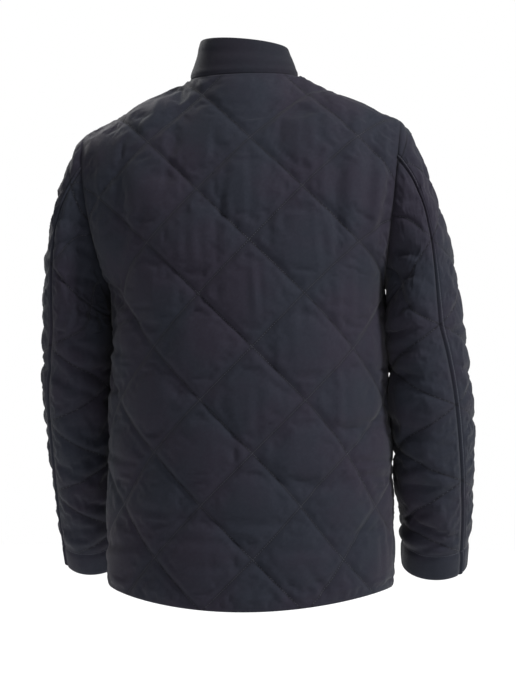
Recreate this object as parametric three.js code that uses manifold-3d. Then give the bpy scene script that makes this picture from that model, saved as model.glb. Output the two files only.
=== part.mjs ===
// A quilted jacket in the form it has when worn, with nobody in it.
// Millimetres, +Z up, the front faces -Y and the wearer's left is +X.
// The origin is the middle of the neck opening, level with the shoulder ends of the collar seam.
import * as THREE from "three";
import { mergeVertices } from "three/addons/utils/BufferGeometryUtils.js";
import Module from "manifold-3d";

const wasm = await Module();
wasm.setup();

// Driving sizes of the body
const armpitZ = -290;
const hemSideZ = -698;
const hemBackDrop = 24;
const hemFrontDrop = 6;
const middleY = 14;
const zipHalfGap = 4.5;
const neck = { halfWidth: 75, backY: 70, frontY: -86, frontDrop: 70 };
const shoulderTip = { x: 217, y: 12, z: -68 };
const shoulderRise = -3;
const shoulderCrowding = 1.35;
const armhole = { back: { reach: 64, out: 8 }, front: { reach: -60, out: -6 } };
const neckSlope = { back: 0.53, front: 0.3 };

// Posture: the upper body leans to the wearer's left, away from the hips, and that shoulder hangs lower.
const posture = { fromZ: -420, toZ: -40, lean: 10, tilt: 0.03 };

// Cloth: half of the plain wall, how far quilting stands up, and the space left at a seam
const halfWall = 1.3;
const seamGap = 0.3;
const edgeFade = 13;
const puff = { body: 6.5, sleeve: 6, collar: 1.2 };

// Quilting, in a panel's divisions: half of a diamond's width and height, and the place of one
// crossing of stitched lines, counted from the first row and the middle column.
const quilting = {
  back: { wide: 4, high: 4, row: 4, column: 0 },
  front: { wide: 4, high: 4, row: 0, column: 0 },
  sleeve: { wide: 6, high: 3.4, row: 3, column: 1 },
};

// How finely each panel is divided. Counts are even, because the inside has half as many.
const lowerRows = 24;
const upperRows = 18;
const halfColumns = 14;
const neckColumns = 4;
const capRows = 12;
const armRows = 16;
const cuffRows = 2;
const rowLength = 21;
const sleeveColumns = 2 * upperRows;
const seamIndex = { back: 6, front: 22 };
const collarRows = 4;

// Sections of the body from hem to armpit: round is 2 for an ellipse and more for a squarer shape.
const torsoTable = [
  { z: -730, halfWidth: 197, backY: 150, frontY: -128, round: 2.0 },
  { z: -620, halfWidth: 196, backY: 153, frontY: -131, round: 2.0 },
  { z: -510, halfWidth: 193, backY: 157, frontY: -133, round: 2.05 },
  { z: -400, halfWidth: 189, backY: 160, frontY: -132, round: 2.15 },
  { z: -290, halfWidth: 187, backY: 158, frontY: -126, round: 2.3 },
];

// Sections of each sleeve below the armpit: centre, half sizes across and fore and aft, and where
// the back seam runs, in degrees from the outer side towards the back.
const sleeveTables = {
  left: [
    { along: 0.0, x: 239, y: 14, z: -340, across: 45, foreAft: 66, seam: 54 },
    { along: 0.25, x: 244.5, y: -4, z: -422, across: 47.5, foreAft: 61, seam: 45 },
    { along: 0.5, x: 246, y: -40, z: -506, across: 46, foreAft: 57, seam: 38 },
    { along: 0.75, x: 249, y: -86, z: -592, across: 44, foreAft: 52, seam: 34 },
    { along: 1.0, x: 248, y: -134, z: -677, across: 43, foreAft: 46, seam: 32 },
  ],
  right: [
    { along: 0.0, x: 242, y: 16, z: -340, across: 48, foreAft: 66, seam: 60 },
    { along: 0.25, x: 248.5, y: 8, z: -422, across: 51.5, foreAft: 61, seam: 49 },
    { along: 0.5, x: 252, y: -14, z: -506, across: 51, foreAft: 57, seam: 43 },
    { along: 0.75, x: 253, y: -46, z: -592, across: 46.5, foreAft: 52, seam: 38 },
    { along: 1.0, x: 248, y: -82, z: -676, across: 44, foreAft: 47, seam: 36 },
  ],
};
const frontSeamTurn = 228;
const cuffDepth = 38;
const capDirection = { outAtTip: 0.42, outUnderArm: 1.7, back: 0.12, down: 0.8 };

// Soft folds of the body, seen square from behind or in front: centre, length along the fold,
// width across it, depth (a trough is negative) and its turn from upright, in degrees.
const bodyFolds = [
  { side: "back", x: -158, z: -165, length: 130, width: 13, depth: 5, turn: -3 },
  { side: "back", x: -140, z: -170, length: 120, width: 12, depth: -4.5, turn: -2 },
  { side: "back", x: 172, z: -300, length: 120, width: 15, depth: -7, turn: -16 },
  { side: "back", x: 150, z: -165, length: 90, width: 11, depth: -3.5, turn: 4 },
  { side: "back", x: 20, z: -185, length: 110, width: 12, depth: -2, turn: 0 },
  { side: "back", x: -150, z: -480, length: 70, width: 10, depth: -4, turn: 84 },
  { side: "back", x: 40, z: -600, length: 150, width: 14, depth: -3, turn: 93 },
  { side: "back", x: -70, z: -545, length: 90, width: 12, depth: -2.5, turn: 86 },
  { side: "front", x: 140, z: -180, length: 120, width: 14, depth: -5, turn: 12 },
  { side: "front", x: -138, z: -185, length: 110, width: 14, depth: -5, turn: -10 },
  { side: "front", x: 95, z: -520, length: 110, width: 13, depth: -3, turn: 80 },
  { side: "front", x: -105, z: -470, length: 100, width: 13, depth: -3, turn: 98 },
];

// Soft folds of the sleeves: height, place round the sleeve in degrees, half length round it,
// half width along it, depth, and how far the fold climbs for each degree round.
const sleeveFolds = {
  left: [
    { z: -215, turn: 112, span: 42, width: 9, depth: -5, climb: 0.25 },
    { z: -262, turn: 150, span: 40, width: 8, depth: -5, climb: 0.3 },
    { z: -345, turn: 165, span: 46, width: 10, depth: -6, climb: 0.2 },
    { z: -402, turn: 175, span: 55, width: 10, depth: -7, climb: 0.05 },
    { z: -452, turn: 200, span: 50, width: 9, depth: -6, climb: -0.15 },
    { z: -520, turn: 150, span: 45, width: 9, depth: -4, climb: 0.3 },
    { z: -600, turn: 165, span: 40, width: 8, depth: -4, climb: -0.2 },
    { z: -395, turn: 20, span: 40, width: 9, depth: -4, climb: -0.2 },
  ],
  right: [
    { z: -160, turn: 78, span: 34, width: 8, depth: -5, climb: 0.15 },
    { z: -232, turn: 128, span: 46, width: 9, depth: -6, climb: -0.3 },
    { z: -285, turn: 140, span: 44, width: 8, depth: -5, climb: -0.25 },
    { z: -352, turn: 150, span: 52, width: 10, depth: -7, climb: -0.1 },
    { z: -405, turn: 160, span: 50, width: 10, depth: -7, climb: 0.1 },
    { z: -470, turn: 175, span: 50, width: 9, depth: -5, climb: 0.2 },
    { z: -560, turn: 120, span: 42, width: 9, depth: -4, climb: 0.15 },
    { z: -612, turn: 135, span: 46, width: 8, depth: -5, climb: 0.35 },
    { z: -405, turn: 5, span: 36, width: 9, depth: -3.5, climb: 0.2 },
  ],
};

// The collar stands on the neck seam and leans in; it sinks towards the front and to the right.
const collar = { heightBack: 50, heightFront: 43, leanIn: 17, tilt: 0.09 };

// Zip: tape, slider and pull
const tape = { width: 10, thickness: 1.2, gap: 0.4 };
const slider = { width: 7.6, length: 13, plate: 2, bridge: 3, reach: 4.4, halfHeight: 4.2, upTheCollar: 0.76 };
const bridgeHole = { depth: 2.9, halfHeight: 2.2 };
const pull = { width: 7.4, length: 27, thickness: 1.4, ringHole: 3.9, ringEnd: 6, pivotOut: 1.45, pivotDown: 0.8 };

// Small helpers
const mix = (a, b, t) => a + (b - a) * t;
const clamp = (x) => Math.min(1, Math.max(0, x));
const ease = (t) => clamp(t) ** 2 * (3 - 2 * clamp(t));
const radians = (degrees) => (degrees * Math.PI) / 180;
const point = (x, y, z) => new THREE.Vector3(x, y, z);
const steps = (count) => [...Array(count + 1).keys()];
const mirrored = (p) => point(-p.x, p.y, p.z);
const moved = (p, direction, distance) => p.clone().addScaledVector(direction, distance);
const crossOf = (a, b) => new THREE.Vector3().crossVectors(a, b).normalize();

// A table's columns at one value of its key column, on a smooth curve through the rows.
function rowAt(table, key, value) {
  let i = 0;
  while (i < table.length - 2 && table[i + 1][key] < value) i++;
  const [a, b] = [table[i], table[i + 1]];
  const [before, after] = [table[i - 1] ?? a, table[i + 2] ?? b];
  const span = b[key] - a[key];
  const t = (value - a[key]) / span;
  const out = {};
  for (const column of Object.keys(a)) {
    const slopeA = ((b[column] - before[column]) / (b[key] - before[key])) * span;
    const slopeB = ((after[column] - a[column]) / (after[key] - a[key])) * span;
    out[column] = hermite(a[column], slopeA, b[column], slopeB, t);
  }
  return out;
}

function hermite(a, slopeA, b, slopeB, t) {
  const [t2, t3] = [t * t, t * t * t];
  return (2 * t3 - 3 * t2 + 1) * a + (t3 - 2 * t2 + t) * slopeA + (3 * t2 - 2 * t3) * b + (t3 - t2) * slopeB;
}

function hermitePoint(a, slopeA, b, slopeB, t) {
  return point(...["x", "y", "z"].map((k) => hermite(a[k], slopeA[k], b[k], slopeB[k], t)));
}

// The point at a share of a polyline's length, past a first stretch of it.
function alongLine(line, skipped = 0) {
  const lengths = [0];
  for (let i = 1; i < line.length; i++) lengths.push(lengths[i - 1] + line[i].distanceTo(line[i - 1]));
  const total = lengths[lengths.length - 1];
  return (fraction) => {
    const wanted = mix(skipped, total, fraction);
    let i = 1;
    while (i < line.length - 1 && lengths[i] < wanted) i++;
    return line[i - 1].clone().lerp(line[i], (wanted - lengths[i - 1]) / (lengths[i] - lengths[i - 1]));
  };
}

function hemZ(side, turn) {
  const drop = side === "back" ? hemBackDrop : hemFrontDrop;
  return hemSideZ - drop * Math.cos(turn) ** 2;
}

// One quarter of a body section, from the centre line round to the side, at a share of the height.
function quarterSection(side, share) {
  return steps(48).map((k) => {
    const turn = (k / 48) * (Math.PI / 2);
    const z = mix(hemZ(side, turn), armpitZ, share);
    const row = rowAt(torsoTable, "z", z);
    const power = 2 / row.round;
    const depth = (side === "back" ? row.backY : row.frontY) - middleY;
    return point(
      row.halfWidth * Math.sin(turn) ** power,
      middleY + depth * Math.max(0, Math.cos(turn)) ** power,
      z,
    );
  });
}

// The collar seam: 0 is the centre back, 90 the shoulder and 180 the centre front.
function neckSeam(turn) {
  const [across, along] = [Math.sin(turn), Math.cos(turn)];
  const depth = along > 0 ? neck.backY : -neck.frontY;
  return point(neck.halfWidth * across, depth * along, along > 0 ? 0 : -neck.frontDrop * (1 - across));
}

function shoulderSeam(t) {
  const rise = shoulderRise * Math.sin(Math.PI * t);
  return point(mix(neck.halfWidth, shoulderTip.x, t), mix(0, shoulderTip.y, t), mix(0, shoulderTip.z, t) + rise);
}

// The posture, put on every point of the cloth at the end.
function lean(p) {
  const up = ease((p.z - posture.fromZ) / (posture.toZ - posture.fromZ));
  return point(p.x + posture.lean * (up - 1), p.y, p.z - posture.tilt * p.x * up);
}

// Half of the back, or one front, as rows of points from the hem up and from the centre line out.
function halfPanel(side) {
  const skipped = side === "back" ? 0 : zipHalfGap;
  const neckShare = neckColumns / halfColumns;
  const neckStart = side === "back" ? 0 : Math.PI - Math.asin(zipHalfGap / neck.halfWidth);
  const rows = steps(lowerRows).map((i) => {
    const at = alongLine(quarterSection(side, i / lowerRows), skipped);
    return steps(halfColumns).map((j) => at(j / halfColumns));
  });
  const armpitLine = alongLine(quarterSection(side, 1), skipped);
  const topLine = (u) =>
    u < neckShare
      ? neckSeam(mix(neckStart, Math.PI / 2, u / neckShare))
      : shoulderSeam(1 - ((1 - u) / (1 - neckShare)) ** shoulderCrowding);
  // A column above the armpit line, as its point at a share of its length.
  const upper = (u) => {
    const [low, high] = [armpitLine(u), topLine(u)];
    const [across, inward, rise] = high.clone().sub(low).toArray();
    const over = ease(u / (1.7 * neckShare));
    const slopeLow = point(0.3 * across, 0, rise * mix(1.15, 1.8, over));
    const slopeNeck = point(across, Math.abs(rise) * Math.sign(inward) * neckSlope[side], rise * 0.9);
    const slopeHigh = slopeNeck.lerp(point(across, 2.0 * inward, 0), over);
    return alongLine(steps(24).map((k) => hermitePoint(low, slopeLow, high, slopeHigh, k / 24)));
  };
  const columns = steps(halfColumns).map((j) => upper(j / halfColumns));
  // Each row above the armpit runs out to a place on the oval of the armhole.
  for (const k of steps(upperRows).slice(1)) {
    const turn = (Math.PI * k) / upperRows;
    const climb = (1 - Math.cos(turn)) / 2;
    const straight = armpitLine(1).lerp(shoulderSeam(1), climb);
    const { reach, out } = armhole[side];
    const edge = straight.add(point(out * Math.sin(turn), reach * Math.sin(turn), 0));
    const correction = edge.sub(columns[halfColumns](climb));
    const row = steps(halfColumns).map((j) => {
      const u = j / halfColumns;
      return columns[j](mix(k / upperRows, climb, u * u)).addScaledVector(correction, u ** 3);
    });
    rows.push(row);
  }
  return rows;
}

// A panel is a grid of spots, from which its two faces are made. Each spot has its tangents and the
// outward normal; a spot on a seam also has its pull back from the seam and a share of wall.
function panelOf(rows, facing, closed = false) {
  const [last, end] = [rows.length - 1, rows[0].length - 1];
  const spots = rows.map((row, i) =>
    row.map((p, j) => {
      const before = closed && j === 0 ? row[end - 1] : row[Math.max(j - 1, 0)];
      const after = closed && j === end ? row[1] : row[Math.min(j + 1, end)];
      const across = after.clone().sub(before).normalize();
      const along = rows[Math.min(i + 1, last)][j].clone().sub(rows[Math.max(i - 1, 0)][j]).normalize();
      const normal = crossOf(across, along).multiplyScalar(facing);
      return { p, across, along, normal, pull: point(0, 0, 0), share: 1 };
    }),
  );
  return { spots, last, end, facing };
}

function bodyPanel(rows, side) {
  const flatPanel = panelOf(rows, 1);
  const { spots, last, end } = flatPanel;
  const folded = rows.map((row, i) =>
    row.map((p, j) => {
      const inside = ease(Math.min(i, last - i, j, end - j) / 2);
      return moved(p, spots[i][j].normal, bodyFoldDepth(side, p) * inside);
    }),
  );
  return panelOf(folded, 1);
}

function bodyFoldDepth(side, p) {
  return bodyFolds
    .filter((fold) => fold.side === side)
    .reduce((sum, fold) => {
      const [dx, dz, turn] = [p.x - fold.x, p.z - fold.z, radians(fold.turn)];
      const across = dx * Math.cos(turn) - dz * Math.sin(turn);
      const along = dx * Math.sin(turn) + dz * Math.cos(turn);
      return sum + fold.depth * Math.exp(-((across / fold.width) ** 2) - (along / (0.55 * fold.length)) ** 2);
    }, 0);
}

const backHalf = halfPanel("back");
const frontHalf = halfPanel("front");
const back = bodyPanel(backHalf.map((row) => [...row.slice(1).reverse(), row[0], ...row.slice(1).map(mirrored)]), "back");
const frontLeft = bodyPanel(frontHalf, "front");
const frontRight = bodyPanel(frontHalf.map((row) => row.map(mirrored).reverse()), "front");

// Part of a panel's edge, as a list of spots.
function edgeOf(panel, edge, from = 0, to = Infinity) {
  const { spots, last, end } = panel;
  const all = {
    first: () => spots[0],
    last: () => spots[last],
    start: () => spots.map((row) => row[0]),
    end: () => spots.map((row) => row[end]),
  }[edge]();
  return all.slice(from, to + 1);
}

// Sews two edges: both get one normal and are pulled apart by the gap. Each place along the seam
// is a pair of lists, as more than one panel of a side can meet there. away points from the first.
function sew(places, away, { isLoop = false, gap = seamGap } = {}) {
  const count = places.length;
  const at = (k) => places[isLoop ? (k + count) % count : Math.min(count - 1, Math.max(0, k))][0][0].p;
  const frames = places.map(([first, second], k) => {
    const tangent = at(k + 1).clone().sub(at(k - 1)).normalize();
    const normal = [...first, ...second].reduce((sum, spot) => sum.add(spot.normal), point(0, 0, 0));
    normal.addScaledVector(tangent, -normal.dot(tangent)).normalize();
    const out = crossOf(tangent, normal);
    return out.dot(away(at(k))) < 0 ? { normal, out: out.negate() } : { normal, out };
  });
  for (const [k, [first, second]] of places.entries()) {
    const { normal, out } = frames[k];
    const share = Math.min(1.25, 1 / Math.max(0.1, normal.dot(first[0].normal)));
    for (const [spots, sign] of [[first, -1], [second, 1]])
      for (const spot of spots) {
        spot.normal = normal;
        spot.share = share;
        spot.pull.addScaledVector(out, (sign * gap) / 2);
      }
  }
}

const pairUp = (first, second) => first.map((spot, k) => [[spot], [second[k]]]);
const top = lowerRows + upperRows;
const shoulderColumns = halfColumns - neckColumns;
const backward = () => point(0, 1, 0);
for (const [frontPanel, frontEdge, backEdge] of [[frontLeft, "end", "start"], [frontRight, "start", "end"]]) {
  sew(pairUp(edgeOf(frontPanel, frontEdge, 0, lowerRows), edgeOf(back, backEdge, 0, lowerRows)), backward);
}
sew(
  pairUp(edgeOf(frontLeft, "last", neckColumns, halfColumns), edgeOf(back, "last", 0, shoulderColumns).reverse()),
  backward,
);
sew(
  pairUp(
    edgeOf(frontRight, "last", 0, shoulderColumns),
    edgeOf(back, "last", halfColumns + neckColumns, 2 * halfColumns).reverse(),
  ),
  backward,
);

// Two edges one after the other: the spots of both stand together where they meet.
function chain(first, second) {
  const lists = [...first.map((spot) => [spot]), ...second.slice(1).map((spot) => [spot])];
  lists[first.length - 1].push(second[0]);
  return lists;
}

// Each armhole as a loop from the shoulder tip down the back, under the arm and up the front.
function armholeOf(frontPanel, frontEdge, backEdge) {
  const loop = chain(edgeOf(back, backEdge, lowerRows, top).reverse(), edgeOf(frontPanel, frontEdge, lowerRows, top));
  const [tip] = loop.pop();
  loop[0].push(tip);
  return loop;
}
const armholes = {
  left: armholeOf(frontLeft, "end", "start"),
  right: armholeOf(frontRight, "start", "end"),
};

function sleeveRing(side, along) {
  const sign = side === "left" ? 1 : -1;
  const table = sleeveTables[side];
  const row = rowAt(table, "along", along);
  const centre = (r) => point(sign * r.x, r.y, r.z);
  const near = (step) => centre(rowAt(table, "along", along + step));
  const axis = near(0.01).sub(near(-0.01)).normalize();
  const out = point(sign, 0, 0);
  out.addScaledVector(axis, -out.dot(axis)).normalize();
  const rear = crossOf(out, axis).multiplyScalar(sign);
  const at = (degrees) => {
    const turn = radians(degrees);
    return moved(moved(centre(row), out, row.across * Math.cos(turn)), rear, row.foreAft * Math.sin(turn));
  };
  return { at, axis, seam: row.seam };
}

// The angle round the sleeve of a column, counted from the shoulder line towards the back.
function columnTurn(column, seam) {
  const { back: rearSeam, front: frontSeam } = seamIndex;
  const underWidth = frontSeam - rearSeam;
  const topWidth = sleeveColumns - underWidth;
  if (column < rearSeam) return mix(frontSeamTurn - 360, seam, (column - frontSeam + sleeveColumns) / topWidth);
  if (column <= frontSeam) return mix(seam, frontSeamTurn, (column - rearSeam) / underWidth);
  return mix(frontSeamTurn, seam + 360, (column - frontSeam) / topWidth);
}

function sleeveFoldDepth(side, z, degrees) {
  const free = 1 - 0.85 * ease((-Math.cos(radians(degrees)) - 0.6) / 0.35);
  return free * sleeveFolds[side].reduce((sum, fold) => {
    const around = degrees - fold.turn - 360 * Math.round((degrees - fold.turn) / 360);
    const along = z - fold.z - fold.climb * around;
    return sum + fold.depth * Math.exp(-((along / fold.width) ** 2) - (around / fold.span) ** 2);
  }, 0);
}

// The whole sleeve as rows of points from the armhole down, each row a closed ring.
function sleeveRows(side) {
  const sign = side === "left" ? 1 : -1;
  const columns = steps(sleeveColumns);
  const first = sleeveRing(side, 0);
  const turns = columns.map((column) => columnTurn(column, first.seam));
  const cap = steps(capRows).map((i) =>
    columns.map((column) => {
      const [from, to] = [armholes[side][column % sleeveColumns][0].p, first.at(turns[column])];
      const far = from.distanceTo(to);
      const sideways = capDirection.back * Math.sin(radians(turns[column]));
      const under = (1 - Math.cos(radians(turns[column]))) / 2;
      const out = mix(capDirection.outAtTip, capDirection.outUnderArm, under);
      const leave = point(sign * out, sideways, -capDirection.down).normalize();
      const share = (i / capRows) ** mix(1, 0.5, under);
      return hermitePoint(from, leave.multiplyScalar(far), to, first.axis.clone().multiplyScalar(far), share);
    }),
  );
  const cuffShare = cuffDepth / 400;
  const stations = [
    ...steps(armRows).slice(1).map((i) => ((1 - cuffShare) * i) / armRows),
    ...steps(cuffRows).slice(1).map((i) => 1 - cuffShare + (cuffShare * i) / cuffRows),
  ];
  const arm = stations.map((along) => {
    const ring = sleeveRing(side, along);
    return columns.map((column) => ring.at(columnTurn(column, ring.seam)));
  });
  return [...cap, ...arm];
}

function sleeveOf(side) {
  const facing = side === "left" ? -1 : 1;
  const rows = sleeveRows(side);
  const smooth = panelOf(rows, facing, true);
  const { seam } = sleeveRing(side, 0);
  const folded = rows.map((row, i) =>
    row.map((p, j) => {
      const fade = ease((i - 1) / 3) * ease((smooth.last - cuffRows - i) / 2);
      return moved(p, smooth.spots[i][j].normal, fade * sleeveFoldDepth(side, p.z, columnTurn(j, seam)));
    }),
  );
  const ring = panelOf(folded, facing, true);
  const cut = (from, to) => {
    const spots = ring.spots.map((row) =>
      steps(to - from).map((k) => {
        const column = (from + k) % sleeveColumns;
        return { ...row[column], pull: point(0, 0, 0), turn: columnTurn(column, seam) };
      }),
    );
    return { spots, last: ring.last, end: to - from, facing };
  };
  const { back: rearSeam, front: frontSeam } = seamIndex;
  const under = cut(rearSeam, frontSeam);
  const upper = cut(frontSeam, rearSeam + sleeveColumns);
  // From the upper panel, both of its seams lie towards the body.
  const inwards = () => point(facing, 0, 0);
  sew(pairUp(edgeOf(upper, "end"), edgeOf(under, "start")), inwards);
  sew(pairUp(edgeOf(upper, "start"), edgeOf(under, "end")), inwards);
  const meet = armholes[side].map((bodySpots, k) => {
    const sleeveSpots = [[under, rearSeam], [upper, frontSeam]]
      .map(([panel, from]) => [panel, (k - from + sleeveColumns) % sleeveColumns])
      .filter(([panel, column]) => column <= panel.end)
      .map(([panel, column]) => panel.spots[0][column]);
    return [bodySpots, sleeveSpots];
  });
  sew(meet, () => point(-facing, 0, 0.3), { isLoop: true, gap: 0.6 });
  return { under, top: upper };
}

const sleeves = { left: sleeveOf("left"), right: sleeveOf("right") };

// The collar seam as one line from the left front round the back to the right front.
const neckLine = chain(
  edgeOf(frontLeft, "last", 0, neckColumns),
  edgeOf(back, "last", shoulderColumns, halfColumns + neckColumns),
);
neckLine[neckLine.length - 1].push(edgeOf(frontRight, "last")[shoulderColumns]);
neckLine.push(...edgeOf(frontRight, "last", shoulderColumns + 1, halfColumns).map((spot) => [spot]));

// The collar has twice as many divisions as its seam: in between, its lowest row is straight as the
// seam is, and the rows above follow the curve.
function collarRow(share) {
  const at = (k) => neckLine[clamp(k / (neckLine.length - 1)) * (neckLine.length - 1)][0].p;
  return steps(2 * (neckLine.length - 1)).map((column) => {
    const k = column >> 1;
    const p = at(k).clone();
    if (column % 2) {
      p.lerp(at(k + 1), 0.5);
      if (share > 0) p.multiplyScalar(1.125).addScaledVector(at(k - 1), -0.0625).addScaledVector(at(k + 2), -0.0625);
    }
    const toFront = clamp((neck.backY - p.y) / (neck.backY - neck.frontY));
    const height = mix(collar.heightBack, collar.heightFront, toFront) + collar.tilt * p.x;
    const isEnd = column === 0 || column === 2 * (neckLine.length - 1);
    const inward = (collar.leanIn * share ** 0.8) / Math.hypot(p.x, p.y);
    return point(isEnd ? p.x : p.x * (1 - inward), p.y * (1 - inward), p.z + height * share);
  });
}
const collarPanel = panelOf(steps(collarRows).map((i) => collarRow(i / collarRows)), 1);
const collarBase = collarPanel.spots[0];
sew(neckLine.map((spots, k) => [spots, [collarBase[2 * k]]]), (p) => point(-p.x, -p.y, 40), { gap: 0.7 });
for (let j = 1; j < collarBase.length; j += 2) {
  const [before, after] = [collarBase[j - 1], collarBase[j + 1]];
  collarBase[j].normal = before.normal.clone().add(after.normal).normalize();
  collarBase[j].pull = before.pull.clone().lerp(after.pull, 0.5);
  collarBase[j].share = (before.share + after.share) / 2;
}

// Rises from a stitched line to the middle between it and the next: q counts lines.
const dome = (q) => 1 - (1 - 2 * Math.abs(q - Math.round(q))) ** 2.2;

// The faces of a quilted panel. Its divisions follow the diamonds, so stitched lines run along the
// diagonals of its cells. On a sleeve's cap the rows crowd together under the arm, so rowOf gives
// each spot's row on even rows, and the spot nearest to a stitched line is moved on to it.
// From plainFrom on, the wall is a hem without quilting.
function quiltPanel(panel, { quilt, middle, height, rowOf, pressed = () => 1, plainFrom = Infinity }) {
  const { spots, last, end } = panel;
  const rises = spots.map((row, i) =>
    row.map((spot, j) => {
      if (i === 0 || j === 0 || i === last || j === end || i === plainFrom) return 0;
      const across = (j - middle - quilt.column) / (2 * quilt.wide);
      let at = i;
      if (rowOf) {
        at = rowOf(i, j);
        const slack = (rowOf(i + 1, j) - rowOf(i - 1, j)) / 4;
        const lines = [across, -across].map((share) => {
          const turns = Math.round((at - quilt.row) / (2 * quilt.high) - share);
          return quilt.row + 2 * quilt.high * (share + turns);
        });
        const [line] = lines.filter((level) => Math.abs(level - at) <= slack);
        if (line !== undefined && i < plainFrom) {
          const step = spots[i + 1][j].p.clone().sub(spots[i - 1][j].p).divideScalar(4 * slack);
          spot.pull.addScaledVector(step, line - at);
          at = line;
        }
      }
      const along = (at - quilt.row) / (2 * quilt.high);
      const toEdge = Math.min(j, end - j, i, last - i) / 2;
      const rise = i > plainFrom ? 0.4 : dome(across + along) * dome(across - along);
      return rise * ease(0.3 + toEdge) * pressed(spot);
    }),
  );
  return closeWall(panel, rises, height);
}

// Triangles of the outside, of the inside with half as many divisions, and of the rim between them.
function closeWall(panel, rises, height, stride = 2) {
  const { spots, last, end, facing } = panel;
  const side = (sign) => (i, j) => {
    const spot = spots[i][j];
    const thickness = halfWall * spot.share + (sign > 0 ? height * rises[i][j] : 0);
    return lean(spot.p.clone().add(spot.pull).addScaledVector(spot.normal, sign * thickness));
  };
  const [outer, inner] = [side(1), side(-1)];
  const positions = [];
  const add = (...corners) => {
    const order = facing > 0 ? corners : [corners[0], corners[2], corners[1]];
    for (const p of order) positions.push(p.x, p.y, p.z);
  };
  for (let i = 0; i < last; i++)
    for (let j = 0; j < end; j++) {
      const [a, b, c, d] = [outer(i, j), outer(i, j + 1), outer(i + 1, j + 1), outer(i + 1, j)];
      const grooveRuns = rises[i][j] + rises[i + 1][j + 1] <= rises[i][j + 1] + rises[i + 1][j];
      for (const corners of grooveRuns ? [[a, b, c], [a, c, d]] : [[a, b, d], [b, c, d]]) add(...corners);
    }
  for (let i = 0; i < last; i += stride)
    for (let j = 0; j < end; j += stride) {
      const [m, n] = [i + stride, j + stride];
      const ring = [[i, j], [i, n], [m, n], [m, j]];
      const middles = [[i, j + 1], [i + 1, n], [m, j + 1], [i + 1, j]];
      const onRim = [i === 0, n === end, m === last, j === 0].map((is) => is && stride === 2);
      const corners = ring.flatMap((corner, k) => (onRim[k] ? [corner, middles[k]] : [corner]));
      const turnBy = Math.max(0, onRim.indexOf(true));
      const apex = onRim.includes(true) ? turnBy + 1 : 0;
      const points = corners.map((_, k) => inner(...corners[(apex + k) % corners.length]));
      for (let k = 1; k < points.length - 1; k++) add(points[0], points[k + 1], points[k]);
    }
  const loop = [
    ...steps(end).map((j) => [0, j]),
    ...steps(last).slice(1).map((i) => [i, end]),
    ...steps(end).slice(1).map((j) => [last, end - j]),
    ...steps(last).slice(1).map((i) => [last - i, 0]),
  ];
  for (let k = 0; k < loop.length - 1; k++) {
    const [from, to] = [loop[k], loop[k + 1]];
    add(outer(...to), outer(...from), inner(...from));
    add(outer(...to), inner(...from), inner(...to));
  }
  const geometry = new THREE.BufferGeometry();
  geometry.setAttribute("position", new THREE.Float32BufferAttribute(positions, 3));
  return { geometry: mergeVertices(geometry, 1e-4), outer, inner };
}

// Where a sleeve lies against the body, and under the arm, the padding of both is pressed flat.
const fromArmpit = ({ p }) => ease(Math.hypot(Math.abs(p.x) - 187, p.y - middleY, p.z - armpitZ) / 75);
const sidePressed = (spot) => fromArmpit(spot) * (1 - 0.85 * ease((Math.abs(spot.p.x) - 155) / 22));
const armPressed = (spot) => fromArmpit(spot) * (1 - 0.85 * ease((-Math.cos(radians(spot.turn)) - 0.5) / 0.35));

const body = { height: puff.body, pressed: sidePressed };
const walls = {
  back: quiltPanel(back, { ...body, quilt: quilting.back, middle: halfColumns }),
  front_left: quiltPanel(frontLeft, { ...body, quilt: quilting.front, middle: 0 }),
  front_right: quiltPanel(frontRight, { ...body, quilt: quilting.front, middle: halfColumns }),
};
for (const side of ["left", "right"])
  for (const part of ["top", "under"]) {
    const panel = sleeves[side][part];
    const lengthAbove = (i, j) =>
      i === capRows ? 0 : panel.spots[i][j].p.distanceTo(panel.spots[i + 1][j].p) + lengthAbove(i + 1, j);
    const rowOf = (i, j) => (i < capRows ? capRows - lengthAbove(i, j) / rowLength : i);
    walls[`sleeve_${side}_${part}`] = quiltPanel(panel, {
      quilt: quilting.sleeve,
      middle: Math.floor(panel.end / 2),
      height: puff.sleeve,
      rowOf,
      pressed: armPressed,
      plainFrom: capRows + armRows,
    });
  }
const collarRises = collarPanel.spots.map((row, i) =>
  row.map((_, j) => (i && j && i < collarRows && j < collarPanel.end ? 1 : 0)),
);
walls.collar = closeWall(collarPanel, collarRises, puff.collar, 1);

// A zip tape lies against the inside of a front's edge and of the collar's end above it.
function zipTape(sign) {
  const front = sign > 0 ? walls.front_left : walls.front_right;
  const spotAt = (wall, end, i, step) => wall.inner(i, sign > 0 ? step : end - step);
  const spots = steps(top / 2).map((k) => [0, 2].map((step) => spotAt(front, frontLeft.end, 2 * k, step)));
  for (const i of steps(collarRows).slice(1))
    spots.push([0, 1].map((step) => spotAt(walls.collar, collarPanel.end, i, step)));
  const rings = spots.map(([a, b], i) => {
    const [before, after] = [spots[Math.max(i - 1, 0)][0], spots[Math.min(i + 1, spots.length - 1)][0]];
    const out = crossOf(after.clone().sub(before), point(-1, 0, 0));
    const far = a.clone().lerp(b, tape.width / a.distanceTo(b));
    const zipLine = a.x - sign * (zipHalfGap - 0.35);
    const ring = [a.clone().setX(zipLine), a, far];
    return ring.map((p) => [0, tape.thickness].map((depth) => moved(p, out, -tape.gap - depth)));
  });
  return bar(rings.map(([[a, b], [c, d], [e, f]]) => [a, c, e, f, d, b]), sign);
}

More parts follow.
